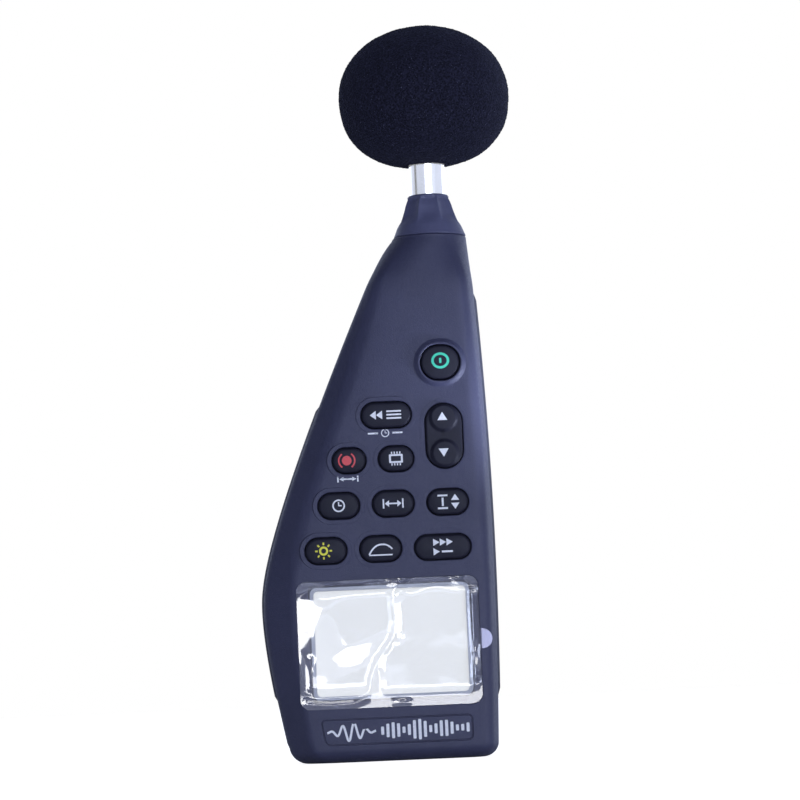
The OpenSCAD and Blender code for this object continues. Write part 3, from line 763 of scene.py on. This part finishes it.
def build_battery_door():
    door = case_solid()
    cut(door, case_solid(WALL))
    keep = box_object((DOOR_X[0], BAND_BACK + 0.1, -1), (DOOR_X[1], BACK_Y + 1, DOOR_HIGH[2]))
    boolean(door, keep, "INTERSECT")
    for x, inner, outer in ((DOOR_X[0], -1.15, 0.4), (DOOR_X[1], -0.4, 1.15)):
        add(door, box_object((x + inner, BACK_Y - WALL + 0.02, 14),
                             (x + outer, BACK_Y - WALL + 1, DOOR_HIGH[2] - 0.01)))
    # Thumb ridges near the upper edge
    middle = (DOOR_X[0] + DOOR_X[1]) / 2
    for k in range(5):
        z = DOOR_HIGH[2] - 7 - 2.2 * k
        cut(door, prism(stadium_loop(middle, z, 18 - 2 * k, 1.1), BACK_Y - 0.5, BACK_Y + 1))
    return finish_piece(door, "battery_door_skin", "case", "battery_door")


def build_grips():
    for name, side, (z0, z1) in GRIPS:
        strip = side_patch(side, z0 + 0.12, z1 - 0.12, GRIP_Y[0] + 0.12, GRIP_Y[1] - 0.12, 0.75, 0.8, 0.7)
        finish_piece(strip, name + "_strip", "grip", name)


RECORD = frame["record"]
BODIES = {node: body for body, nodes in RECORD["behaviour"]["bodies"].items() for node in nodes}


def finish_piece(obj, name, look, node, replace=True, smooth=32.0):
    """Names a piece, gives it its material and ties it to its CAD node."""
    obj.name = obj.data.name = name
    tidy_mesh(obj)
    shade(obj, smooth)
    obj.data.materials.clear()
    obj.data.materials.append(MATERIALS[look])
    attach(obj, BODIES.get(node, "body"))
    if replace:
        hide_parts(node)
    return obj


# ------------------------------------------------------- nose and windscreen ----
def build_nose_cone():
    """Conical cap with eight scallops that fade out towards its foot."""
    top = CONE_HIGH[2] - 0.3
    foot = CASE_H + 0.06
    outer = [(NOSE_R - 0.5, foot), (NOSE_R - 0.2, foot + 0.12), (NOSE_R, foot + 0.45)]
    side = bezier(((NOSE_R, foot + 0.45), (NOSE_R - 1.3, foot + 3.6), (NOSE_R - 2.6, foot + 6.8),
                   (NOSE_R - 3.75, foot + 10.2)), np.linspace(0, 1, 24))[1:]
    shoulder = bezier((side[-1], (NOSE_R - 4.25, top - 3.3), (NOSE_R - 5.2, top - 1.6), (7.6, top - 0.5)),
                      np.linspace(0, 1, 14))[1:]
    rim = bezier(((7.6, top - 0.5), (7.45, top - 0.25), (7.25, top), (6.95, top)), np.linspace(0, 1, 7))[1:]
    outer = np.concatenate([outer, side, shoulder, rim])
    around = 256
    spigot_r, spigot_z = NOSE_R - WALL - 0.1, CONE_LOW[2]
    inner = [(BORE_R, spigot_z + 2.2), (BORE_R + 1.5, spigot_z + 2.2), (BORE_R + 1.5, spigot_z),
             (spigot_r, spigot_z), (spigot_r, foot)]
    # Scallops run from ridge to ridge; the ridges keep the full radius
    u = (np.arange(around) * 8 / around + 0.5) % 1
    scallop = np.clip(1 - np.abs(2 * u - 1) ** 2.6 * 1.08, 0, 1)
    rings = revolve(inner, around)
    for r, z in outer:
        depth = 1.15 * smoothstep(z, CASE_H + 3.6, CASE_H + 8.6) * smoothstep(z, top - 0.5, top - 1.9)
        rings.append(at_height(circle(0, 0, r - depth * scallop, around), z))
    rings += revolve([(BORE_R, top - 0.2)], around)
    rings.append(rings[0])
    cone = mesh_object("cone", *loft(rings, cap=False))
    return finish_piece(cone, "nose_cone_skin", "cone", "nose_cone")


def build_windscreen():
    """Foam ball with a rough open-cell skin, flatter below than above."""
    mid_z = 243.9
    half_h = FOAM_HIGH[2] - mid_z - 0.5
    radius = FOAM_HIGH[0] - 0.1
    bore, lip, around, rows = BORE_R, 1.1, 420, 230

    def outline(t):
        c, s = math.cos(t), math.sin(t)
        e = 2.05 if s > 0 else 2.36
        k = (abs(c) ** e + abs(s) ** e) ** (-1 / e)
        return radius * c * k, mid_z + half_h * s * k

    profile = [outline(-math.pi / 2 + math.pi * k / rows) for k in range(rows + 1)]
    low_z = profile[0][1]
    body = [(max(r, 0.02), z) for r, z in profile if r > bore + lip or z > mid_z]
    # The hole's edge rolls into the bore
    pinch = [(bore + lip * (1 - math.cos(a)), low_z + 1.1 * (1 - math.sin(a)))
             for a in np.radians([0, 18, 36, 54, 72])]
    bore_top = 252.4
    hole = [(0.02, bore_top), (bore, bore_top)] + [(bore, z) for z in np.linspace(bore_top - 4, low_z + 4, 8)]
    rings = np.array(revolve(hole + pinch + body, around))
    first_outer = len(hole) + 1
    skin = rings[first_outer:].reshape(-1, 3)
    normal = skin - (0, 0, mid_z)
    normal /= np.linalg.norm(normal, axis=1)[:, None]
    # Torn cell walls stand out from the cut surface
    lift = np.array([0.30 * abs(noise.noise(Vector(p * 1.6))) + 0.22 * noise.noise(Vector(p * 3.1))
                     + 0.2 * noise.noise(Vector(p * 0.12)) for p in skin])
    rings[first_outer:] = (skin + normal * (lift - 0.1)[:, None]).reshape(-1, around, 3)
    foam = mesh_object("foam", *loft(rings), smooth=180)
    return finish_piece(foam, "windscreen_foam", "foam", "windscreen", smooth=180)


# ------------------------------------------------------------------- keys ----
def key_depth(name, x, z, d):
    """Depth of a key's top at a point; d is the distance from its edge."""
    kx, kz, w, h = KEYS[name]
    r = min(w, h) / 2 - KEY_GAP
    t = np.clip(d / 0.75, 0, 1)
    edge = np.sqrt(1 - (1 - t) ** 2)
    if name == "key_up_down":
        rise = 0.45 * edge
        for pad_z in (122.9, 109.9):
            ring = np.hypot(x - kx, z - pad_z)
            rise = rise + 0.75 * smoothstep(ring, 5.5, 4.0) + 0.12 * np.clip(1 - (ring / 5.0) ** 2, 0, 1)
        return FRONT_Y - rise
    s = np.clip(d / r, 0, 1)
    crown = 1 - (1 - s) ** 2
    rise = 0.8 * edge + (KEY_PROUD - 0.8) * crown
    return FRONT_Y + 0.1 - rise


def stadium_distance(name, x, z):
    """Distance from a point on a key to the key's edge."""
    kx, kz, w, h = KEYS[name]
    dx, dz = max(w - h, 0) / 2, max(h - w, 0) / 2
    qx = np.maximum(np.abs(x - kx) - dx, 0)
    qz = np.maximum(np.abs(z - kz) - dz, 0)
    return min(w, h) / 2 - KEY_GAP - np.hypot(qx, qz)


def build_key(name):
    kx, kz, w, h = KEYS[name]
    r = min(w, h) / 2 - KEY_GAP
    around, steps = (240, 30) if name == "key_up_down" else (120, 18)
    flange = (FLANGE_Y + 0.5, FLANGE_Y - 0.7)
    rings = [key_ring(name, grow, y, around) for grow, y in
             ((-KEY_GAP, flange[0]), (0.8, flange[0]), (0.8, flange[1]), (-KEY_GAP, flange[1]))]
    for k in range(steps + 1):
        d = r * (k / steps) ** 1.7
        loop = stadium_loop(kx, kz, w, h, -KEY_GAP - min(d, r - 1e-3), around)
        rings.append(at_depth(loop, key_depth(name, loop[:, 0], loop[:, 1], np.full(around, d))))
    key = mesh_object(name, *loft(rings))
    # Long keys stand on two plungers
    dx, dz = (5, 0) if w > 20 else (0, 6.5) if h > 20 else (0, 0)
    for side in (-1, 1) if dx or dz else (0,):
        add(key, cylinder_y(kx + side * dx, kz + side * dz, 2.2, FLANGE_Y, node_box(name)[1][1]))
    return finish_piece(key, name + "_cap", "key", name)


# ---------------------------------------------------------------- legends ----
def flat_shape(loops):
    """A plane shape: the first loop is the outline, the others are holes."""
    bm = bmesh.new()
    edges = []
    for loop in loops:
        verts = [bm.verts.new((p[0], 0, p[1])) for p in loop]
        edges += [bm.edges.new((verts[i], verts[(i + 1) % len(verts)])) for i in range(len(verts))]
    bmesh.ops.triangle_fill(bm, use_beauty=True, use_dissolve=False, edges=edges)
    return bm


def bar(x, z, w, h, r=0.0):
    r = min(r, w / 2 - 0.01, h / 2 - 0.01)
    if r <= 0:
        return np.array([(-w, -h), (w, -h), (w, h), (-w, h)]) / 2 + (x, z)
    return rect_loop(x, z, w, h, r, 24)


def arrow(x, z, dx, dz, half):
    """Triangle with its tip at x, z; it is as long as dx or dz, whichever isn't 0, and twice half wide."""
    across = np.array((0, half) if dx else (half, 0))
    base = np.array((x - dx, z - dz))
    return [np.array([base - across, (x, z), base + across])]


def stroke(points, width):
    """Outline of a line of constant width through points."""
    p = np.asarray(points, float)
    tangent = np.gradient(p, axis=0)
    tangent /= np.linalg.norm(tangent, axis=1)[:, None]
    side = np.stack([-tangent[:, 1], tangent[:, 0]], axis=1) * width / 2
    return np.concatenate([p + side, (p - side)[::-1]])


def arc_line(x, z, r, start, end, count=20):
    a = np.radians(np.linspace(start, end, count))
    return np.stack([x + r * np.cos(a), z + r * np.sin(a)], axis=1)


def legend(name, shapes, surface, look, node):
    """Printed marks that follow the surface under them."""
    joined = bmesh.new()
    for loops in shapes:
        bm = flat_shape(loops)
        for _ in range(4):
            long_edges = [e for e in bm.edges if e.calc_length() > 0.7]
            if not long_edges:
                break
            bmesh.ops.subdivide_edges(bm, edges=long_edges, cuts=1)
            bmesh.ops.triangulate(bm, faces=bm.faces)
        part = bpy.data.meshes.new("part")
        bm.to_mesh(part)
        bm.free()
        joined.from_mesh(part)
        bpy.data.meshes.remove(part)
    points = np.array([v.co for v in joined.verts])
    depth = surface(points[:, 0], points[:, 2])
    for v, y in zip(joined.verts, depth):
        v.co.y = y - 0.035
    back = bmesh.ops.extrude_face_region(joined, geom=joined.faces[:])
    for item in back["geom"]:
        if isinstance(item, bmesh.types.BMVert):
            item.co.y += 0.1
    mesh = bpy.data.meshes.new(name)
    joined.to_mesh(mesh)
    joined.free()
    mesh.transform(Matrix.Scale(MM, 4))
    obj = link(bpy.data.objects.new(name, mesh))
    return finish_piece(obj, name, look, node, replace=False)


def key_surface(name):
    return lambda x, z: key_depth(name, x, z, stadium_distance(name, x, z))


def surface_of(obj):
    """Depth of an object's front, found by looking at it along +Y."""
    def depth(xs, zs):
        found = []
        for x, z in zip(xs, zs):
            hit, place, _, _ = obj.ray_cast(Vector((x * MM, -0.1, z * MM)), Vector((0, 1, 0)))
            found.append(place.y / MM if hit else FRONT_Y)
        return np.array(found)
    return depth


def power_mark(x, z):
    x, z = x + 0.1, z + 0.6
    return [[circle(x, z, 3.25, 40, 2.95), circle(x, z, 2.35, 40, 2.05)], [bar(x, z, 0.85, 1.9, 0.3)]]


def backlight_mark(x, z):
    x -= 0.8
    sun = [[circle(x, z, 1.65, 28), circle(x, z, 0.9, 28)]]
    ray = bar(2.6, 0, 0.9, 0.6)
    for a in np.arange(8) * TURN / 8:
        turn = np.array([[math.cos(a), math.sin(a)], [-math.sin(a), math.cos(a)]])
        sun.append([ray @ turn + (x, z)])
    return sun


def record_mark(x, z):
    x -= 0.8
    waves = [[stroke(arc_line(x, z, 2.9, middle - 55, middle + 55), 0.55)] for middle in (180, 0)]
    return [[circle(x, z, 1.75, 28)]] + waves


def recall_mark(x, z):
    lines = [[bar(x + 2.8, z + dz, 5.4, 0.6, 0.2)] for dz in (-1.25, 0, 1.25)]
    return [arrow(x + dx, z, -2.2, 0, 1.6) for dx in (-5.9, -3.6)] + lines


def memory_mark(x, z):
    pins = [[bar(x + dx, z + dz, 0.45, 0.8)] for dx in (-1.5, -0.5, 0.5, 1.5) for dz in (2.1, -2.1)]
    return [[bar(x, z, 5.0, 3.2, 0.4), bar(x, z, 3.6, 1.9, 0.3)]] + pins


def clock_mark(x, z, r=2.3):
    t = 0.24 * r
    return [[circle(x, z, r, 28), circle(x, z, r - t, 28)],
            [bar(x, z + 0.28 * r, t * 0.8, 0.62 * r)],
            [bar(x + 0.22 * r, z, 0.5 * r, t * 0.8)]]


def interval_mark(x, z, half=3.5, scale=1.0):
    line = 0.55
    shapes = [[bar(x, z, 2 * half - 3.0, line)]]
    for side in (-1, 1):
        shapes += [[bar(x + side * half, z, line, 3.0 * scale + 0.4)],
                   arrow(x + side * (half - 0.5), z, side * 1.5, 0, scale + 0.2)]
    return shapes


def min_max_mark(x, z):
    x += 0.6
    shapes = [[bar(x - 2.4, z, 0.7, 3.0)]]
    for side in (-1, 1):
        shapes += [[bar(x - 2.4, z + 2.3 * side, 3.6, 0.65)],
                   arrow(x + 2.1, z + 2.7 * side, 0, 2.2 * side, 1.5)]
    return shapes


def weighting_mark(x, z):
    xs = np.linspace(-4.2, 4.2, 26)
    curve = np.stack([x + xs, z + 1.5 - 3.6 * (np.abs(xs - 0.6) / 4.8) ** 2.4], axis=1)
    return [[stroke(curve, 0.6)], [bar(x, z - 2.3, 8.4, 0.5)]]


def response_mark(x, z):
    fast = [arrow(x + dx, z + 1.7, 2.3, 0, 1.3) for dx in (-1.1, 1.3, 3.7)]
    return fast + [arrow(x - 1.1, z - 1.7, 2.3, 0, 1.3), [bar(x + 1.6, z - 1.7, 4.0, 0.7, 0.2)]]


def name_plate_marks():
    """A sound wave with a row of level bars in place of any name."""
    x, z = LABEL[:2]
    xs = np.linspace(-25.5, -8.0, 90)
    wave = np.stack([x + xs, z + 3.3 * np.sin((xs + 16.8) * 1.5) * np.exp(-((xs + 16.8) / 5.2) ** 2)], axis=1)
    shapes = [[stroke(wave, 0.8)]]
    for k in range(17):
        tall = 1.4 + 6.0 * abs(math.sin(0.62 * k + 0.5)) * math.exp(-((k - 7) / 9.0) ** 2)
        shapes.append([bar(x - 5.6 + 1.92 * k, z, 1.1, tall, 0.35)])
    return shapes


def build_legends(face_surface):
    for draw, look in ((power_mark, "green"), (backlight_mark, "yellow"), (record_mark, "red"),
                       (recall_mark, "white"), (memory_mark, "white"), (clock_mark, "white"),
                       (interval_mark, "white"), (min_max_mark, "white"), (weighting_mark, "white"),
                       (response_mark, "white")):
        name = draw.__name__
        key = "key_" + name.removesuffix("_mark")
        legend(name, draw(*KEYS[key][:2]), key_surface(key), look, key)
    key = "key_up_down"
    for name, z, side in (("up_mark", 123.3, 1), ("down_mark", 110.2, -1)):
        tip = arrow(KEYS[key][0] - 0.4, z + 1.6 * side, 0, 3.0 * side, 1.8)
        legend(name, [tip], key_surface(key), "white", key)
    x, z = -19.5, 118.2
    dashes = [[bar(x + dx, z, 3.8, 0.6, 0.2)] for dx in (-4.4, 4.4)]
    for name, shapes in (("recall_second_mark", clock_mark(x, z, 1.5) + dashes),
                         ("record_second_mark", interval_mark(-33.7, 102.1, 3.6, 0.6)),
                         ("name_plate_marks", name_plate_marks())):
        legend(name, shapes, face_surface, "white", "front_shell")


# -------------------------------------------------------------- screen film ----
def film_crease(z):
    """x of the crease between the two cushions of the film."""
    return np.interp(z, (19, 30, 34, 37, 40, 43, 46, 50, 58, 66),
                     (-27.6, -26.8, -26.2, -25.0, -22.8, -20.6, -19.2, -18.7, -19.2, -20.0))


def cushion(x, z, sides, flanks, height):
    """Rises from its sides (left, right, low, top), over the width of each flank, to a flat top."""
    across, up = (np.minimum(1, np.minimum(*pair)) for pair in (
        ((x - sides[0]) / flanks[0], (sides[1] - x) / flanks[1]),
        ((z - sides[2]) / flanks[2], (sides[3] - z) / flanks[3])))
    inside = np.clip(1 - np.hypot(1 - across, 1 - up), 0, 1)
    return height * (1 - (1 - inside) ** 2)


def film_lift(x, z):
    """Height of the loose film over the window: two cushions with a crease between."""
    crease = film_crease(z)
    wide = smoothstep(z, 33, 42)
    top_wave = 62.6 + 0.9 * np.sin((x + 9.5) / 3.6) * smoothstep(x, -16, -12)
    gap = 0.2 + 1.5 * smoothstep(z, 38, 28)
    lift = cushion(x, z, (-50.5 - 2.8 * wide, crease - gap, 23.8, 62.6),
                   (2.0 + 6.5 * wide, 3.0, 5.0, 4.0), 1.1)
    lift += cushion(x, z, (crease + gap, 9.2, 23.4, top_wave), (2.8, 2.4, 3.6, 3.6), 1.0)
    # A slanting swell in the left cushion
    slant = (x + 42.5) * 0.87 + (z - 46.5) * 0.50
    along = (x + 42.5) * 0.50 - (z - 46.5) * 0.87
    lift += 1.15 * smoothstep(slant, -5.5, 5.0) * np.exp(-(np.maximum(np.abs(along) - 7, 0) / 5) ** 2) \
        * np.exp(-(np.maximum(slant - 3, 0) / 14) ** 2)
    # Thin rolls along lines
    for points, half, tall in FILM_ROLLS:
        near = np.full(np.shape(x), 1e3)
        for (x0, z0), (x1, z1) in zip(points, points[1:]):
            dx, dz = x1 - x0, z1 - z0
            t = np.clip(((x - x0) * dx + (z - z0) * dz) / (dx ** 2 + dz ** 2), 0, 1)
            near = np.minimum(near, np.hypot(x - x0 - t * dx, z - z0 - t * dz))
        lift += tall * np.exp(-(near / half) ** 2)
    # Folds that run in from the edges
    for fx, fz, half, length, lean, tall in FILM_FOLDS:
        v = np.abs(z - fz)
        lift += tall * np.exp(-((x - fx - (z - fz) * lean) / (half + 0.2 * v)) ** 2 - (v / length) ** 2)
    return lift


# Folds of the film: x, z, half width, length, lean, height
FILM_FOLDS = (
    (-48.6, 47.5, 4.0, 9.0, 0.0, 0.75), (-17.5, 20.9, 2.6, 1.2, 0.0, 0.6), (3.5, 64.0, 2.0, 2.6, -0.6, 0.5),
    (-19.0, 64.3, 3.2, 1.6, 0.2, 0.5), (9.9, 38.0, 1.2, 4.2, 0.15, 0.4), (9.8, 26.6, 2.0, 1.9, 0.5, 0.5),
    (9.0, 60.6, 3.0, 1.1, 0.3, 0.5), (-16.4, 45.2, 1.0, 1.0, 0.0, 0.35), (-19.0, 42.6, 1.5, 0.9, 0.5, 0.3),
    (-23.6, 38.6, 1.2, 1.1, 0.0, 0.3), (-16.8, 60.5, 1.6, 2.6, 0.5, 0.35),
)
# Rolls of the film: points (x, z), half width, height
FILM_ROLLS = (
    (((-51.5, 21.6), (-43.0, 20.9), (-35.0, 21.2), (-30.5, 23.0)), 1.3, 0.55),
    (((-50.5, 27.0), (-50.0, 38.0)), 0.9, 0.35),
)


def build_film():
    low, high = WINDOW_LOW, WINDOW_HIGH
    corner = 3.6
    cols, rows, tab_cols = 230, 162, 12
    tab_x, tab_z, tab_r = high[0] + 0.8, 42.6, 3.6
    centre_x = (low[0] + high[0]) / 2
    grid = []
    for z in np.linspace(low[2], high[2], rows):
        near = max(corner - min(z - low[2], high[2] - z), 0)
        half = (high[0] - low[0]) / 2 - corner + math.sqrt(max(corner ** 2 - near ** 2, 0))
        xs = centre_x + np.linspace(-half, half, cols)
        reach = math.sqrt(max(tab_r ** 2 - (z - tab_z) ** 2, 0))
        far = max(tab_x + reach, xs[-1]) if reach > 0 else xs[-1]
        grid.append([(x, z) for x in [*xs, *np.linspace(xs[-1], far, tab_cols + 1)[1:]]])
    grid = np.array(grid)
    x, z = grid[..., 0], grid[..., 1]
    lift = film_lift(x, z)
    crumple = np.array([noise.noise(Vector((a * 0.09, b * 0.09, 3.0)))
                        + 0.12 * noise.noise(Vector((a * 0.3, b * 0.3, 9.0)))
                        for a, b in grid.reshape(-1, 2)]).reshape(x.shape)
    edge = np.minimum(np.minimum(x - low[0], high[0] - x), np.minimum(z - low[2], high[2] - z))
    lift = np.maximum(lift * smoothstep(edge, -0.5, 1.2) + 0.22 * crumple * smoothstep(edge, 0, 6), 0)
    # The lower edge lies close and the upper one stands off
    lift += 0.16 * smoothstep(z, 19, 25) + 0.3 * smoothstep(z, 60.5, 66.5)
    top = np.stack([x, FRONT_Y - 0.22 - lift, z], axis=-1).reshape(-1, 3)
    under = top + [0, 0.12, 0]
    count = len(top)
    index = np.arange(count).reshape(x.shape)
    cells = np.stack([index[:-1, :-1], index[:-1, 1:], index[1:, 1:], index[1:, :-1]], axis=-1).reshape(-1, 4)
    border = np.concatenate([index[0], index[1:, -1], index[-1, -2::-1], index[-2:0:-1, 0]])
    after = np.roll(border, -1)
    walls = np.stack([border, count + border, count + after, after], axis=1)
    faces = np.concatenate([cells, count + cells[:, ::-1], walls]).tolist()
    film = mesh_object("film", np.concatenate([top, under]), faces)
    film = finish_piece(film, "screen_film_sheet", "film", "screen_film", smooth=60)
    # A light rim shows round the display, behind the window
    rim = prism(rect_loop(*VIEW_C, VIEW_W + 2.6, VIEW_H + 2.6, 2.6), WINDOW_HIGH[1] + 0.4, -13.2)
    cut(rim, prism(rect_loop(*VIEW_C, VIEW_W, VIEW_H, 1.6), -20, -10))
    finish_piece(rim, "display_rim", "guide", "lcd_frame", replace=False)
    return film


# ------------------------------------------------------------------- stage ----
class Value:
    """A socket of a node tree that arithmetic can be done with."""

    def __init__(self, tree, socket):
        self.tree, self.socket = tree, socket

    def math(self, operation, a, b=0.0):
        node = self.tree.nodes.new("ShaderNodeMath")
        node.operation = operation
        for value, end in zip((a, b), node.inputs):
            if isinstance(value, Value):
                self.tree.links.new(value.socket, end)
            else:
                end.default_value = value
        return Value(self.tree, node.outputs[0])

    def __add__(self, other):
        return self.math("ADD", self, other)

    def __mul__(self, other):
        return self.math("MULTIPLY", self, other)

    def __abs__(self):
        return self.math("ABSOLUTE", self)

    def rest(self):
        return self.math("SUBTRACT", 1.0, self)

    def ramp(self, low, high):
        """Rises smoothly from 0 to 1 between two values."""
        node = self.tree.nodes.new("ShaderNodeMapRange")
        node.interpolation_type = "SMOOTHSTEP"
        self.tree.links.new(self.socket, node.inputs["Value"])
        node.inputs["From Min"].default_value = low
        node.inputs["From Max"].default_value = high
        return Value(self.tree, node.outputs["Result"])


def camera_share(tree):
    """1 for what the camera sees directly, 0 for all other light."""
    return Value(tree, tree.nodes.new("ShaderNodeLightPath").outputs["Is Camera Ray"])


def emitter(name, place, target, size, power, colour=(1, 1, 1)):
    light = bpy.data.lights.new(name, "AREA")
    light.shape = "RECTANGLE"
    light.size, light.size_y = size
    light.energy = power
    light.color = colour
    obj = link(bpy.data.objects.new(name, light))
    obj.location = place
    obj.rotation_euler = (Vector(target) - Vector(place)).to_track_quat("-Z", "Y").to_euler()
    obj.visible_camera = False
    return obj


def build_stage():
    """Pale floor that looks white to the camera and keeps a soft contact shadow."""
    mesh = bpy.data.meshes.new("floor")
    corners = [(1.6 * x, 1.6 * y, 0) for x, y in ((-1, -1), (1, -1), (1, 1), (-1, 1))]
    mesh.from_pydata(corners, [], [(0, 1, 2, 3)])
    floor = link(bpy.data.objects.new("floor", mesh))
    s = Shader("floor_white", (0.9, 0.9, 0.9), 0.8, Emission_Color=(1, 1, 1, 1), Specular_IOR_Level=0.1)
    s.vary_colour(3, (0.90, 0.90, 0.91), (0.88, 0.88, 0.89))
    s.set(s.bsdf, Emission_Strength=(camera_share(s.tree) * 0.88).socket)
    mesh.materials.append(s.mat)


def build_world():
    """White backdrop for the camera; for all other light, a dim room with a bright band."""
    world = bpy.data.worlds.new("studio")
    bpy.context.scene.world = world
    world.use_nodes = True
    tree = world.node_tree
    nodes, links = tree.nodes, tree.links
    split = nodes.new("ShaderNodeSeparateXYZ")
    links.new(nodes.new("ShaderNodeTexCoord").outputs["Generated"], split.inputs[0])
    dx, dy, dz = (Value(tree, socket) for socket in split.outputs)
    band = dz.ramp(0.10, 0.17) * dz.ramp(0.24, 0.34).rest()
    # The band has a gap on the left, where a room's dark side shows
    gap = (dx * -1.0).ramp(0.90, 0.97) * abs(dy + 0.16).ramp(0.10, 0.20).rest()
    room = dx.ramp(-0.6, 0.8) * (ROOM_RIGHT - ROOM_LEFT) + ROOM_LEFT + dz.ramp(0.45, 0.95) * SKY_LEVEL
    level = room + dy.ramp(0.35, 0.80) * REAR_LEVEL + band * gap.rest() * BAND_LEVEL
    seen = camera_share(tree)
    tint = nodes.new("ShaderNodeMix")
    tint.data_type = "RGBA"
    tint.inputs[6].default_value = (0.68, 0.76, 1.0, 1)
    tint.inputs[7].default_value = (1, 1, 1, 1)
    links.new(seen.socket, tint.inputs[0])
    background = nodes["Background"]
    links.new(tint.outputs[2], background.inputs["Color"])
    links.new((seen + seen.rest() * level).socket, background.inputs["Strength"])


def build_light(film):
    """Softboxes for the whole meter, and windows of the room that only the glossy film picks up."""
    target, cool = (-0.02, 0, 0.12), (0.72, 0.79, 1.0)
    emitter("key_light", (0.62, -0.80, 0.16), target, (0.45, 0.30), KEY_W, cool)
    emitter("low_light", (0.30, -0.34, 0.012), target, (0.30, 0.12), LOW_W, cool)
    emitter("rim_right", (0.8, 0.55, 0.2), target, (0.4, 0.6), RIM_RIGHT_W, cool)
    emitter("rim_left", (-0.8, 0.62, 0.35), target, (0.4, 0.6), RIM_LEFT_W, cool)
    rake = emitter("rake_light", (0.10, -0.042, 0.075), (0.006, -0.017, 0.139), (0.03, 0.03), RAKE_W, cool)
    rake.data.spread = math.radians(35)
    front = emitter("front_light", (0.16, -1.33, 0.30), target, (0.9, 0.6), FRONT_W, cool)
    # This broad light would wash the film and the window out
    others = bpy.data.collections.new("all_but_screen")
    for k, obj in enumerate((film, frame["nodes"]["lcd_window"])):
        others.objects.link(obj)
        others.collection_objects[k].light_linking.link_state = "EXCLUDE"
    front.light_linking.receiver_collection = others

    only_film = bpy.data.collections.new("film_only")
    only_film.objects.link(film)
    screen = (-0.02, -0.02, 0.045)
    for name, place, size, power in (("film_left", (-0.31, -0.38, 0.10), (0.42, 0.18), FILM_LEFT_W),
                                     ("film_low", (-0.02, -0.115, 0.003), (0.16, 0.04), FILM_LOW_W),
                                     ("film_top", (0.02, -0.80, 0.50), (0.50, 0.12), FILM_TOP_W)):
        pane = emitter(name, place, screen, size, power)
        pane.light_linking.receiver_collection = only_film
        pane.light_linking.blocker_collection = only_film


def build_camera():
    """The photo's view: nearly square on, from just above the floor, slightly rolled."""
    distance, elevation, roll = 1.1, math.radians(-5), math.radians(2.5)
    target = Vector((-0.0136, -0.005, 0.131))
    back = Vector((0, -math.cos(elevation), math.sin(elevation)))
    camera_data = bpy.data.cameras.new("camera")
    camera_data.lens = 135
    camera_data.sensor_width = 36
    camera = link(bpy.data.objects.new("camera", camera_data))
    camera.location = target + back * distance
    aim = (-back).to_track_quat("-Z", "Y").to_matrix()
    camera.rotation_euler = (aim @ Matrix.Rotation(-roll, 3, "Z")).to_euler()
    bpy.context.scene.camera = camera


dress_cad_nodes()
front_shell = build_front_shell()
build_rear_shell()
build_battery_door()
build_grips()
build_nose_cone()
build_windscreen()
for key_name in KEYS:
    build_key(key_name)
build_legends(surface_of(front_shell))
film_sheet = build_film()
build_stage()
build_world()
build_light(film_sheet)
build_camera()
bpy.context.scene.view_settings.view_transform = "Standard"
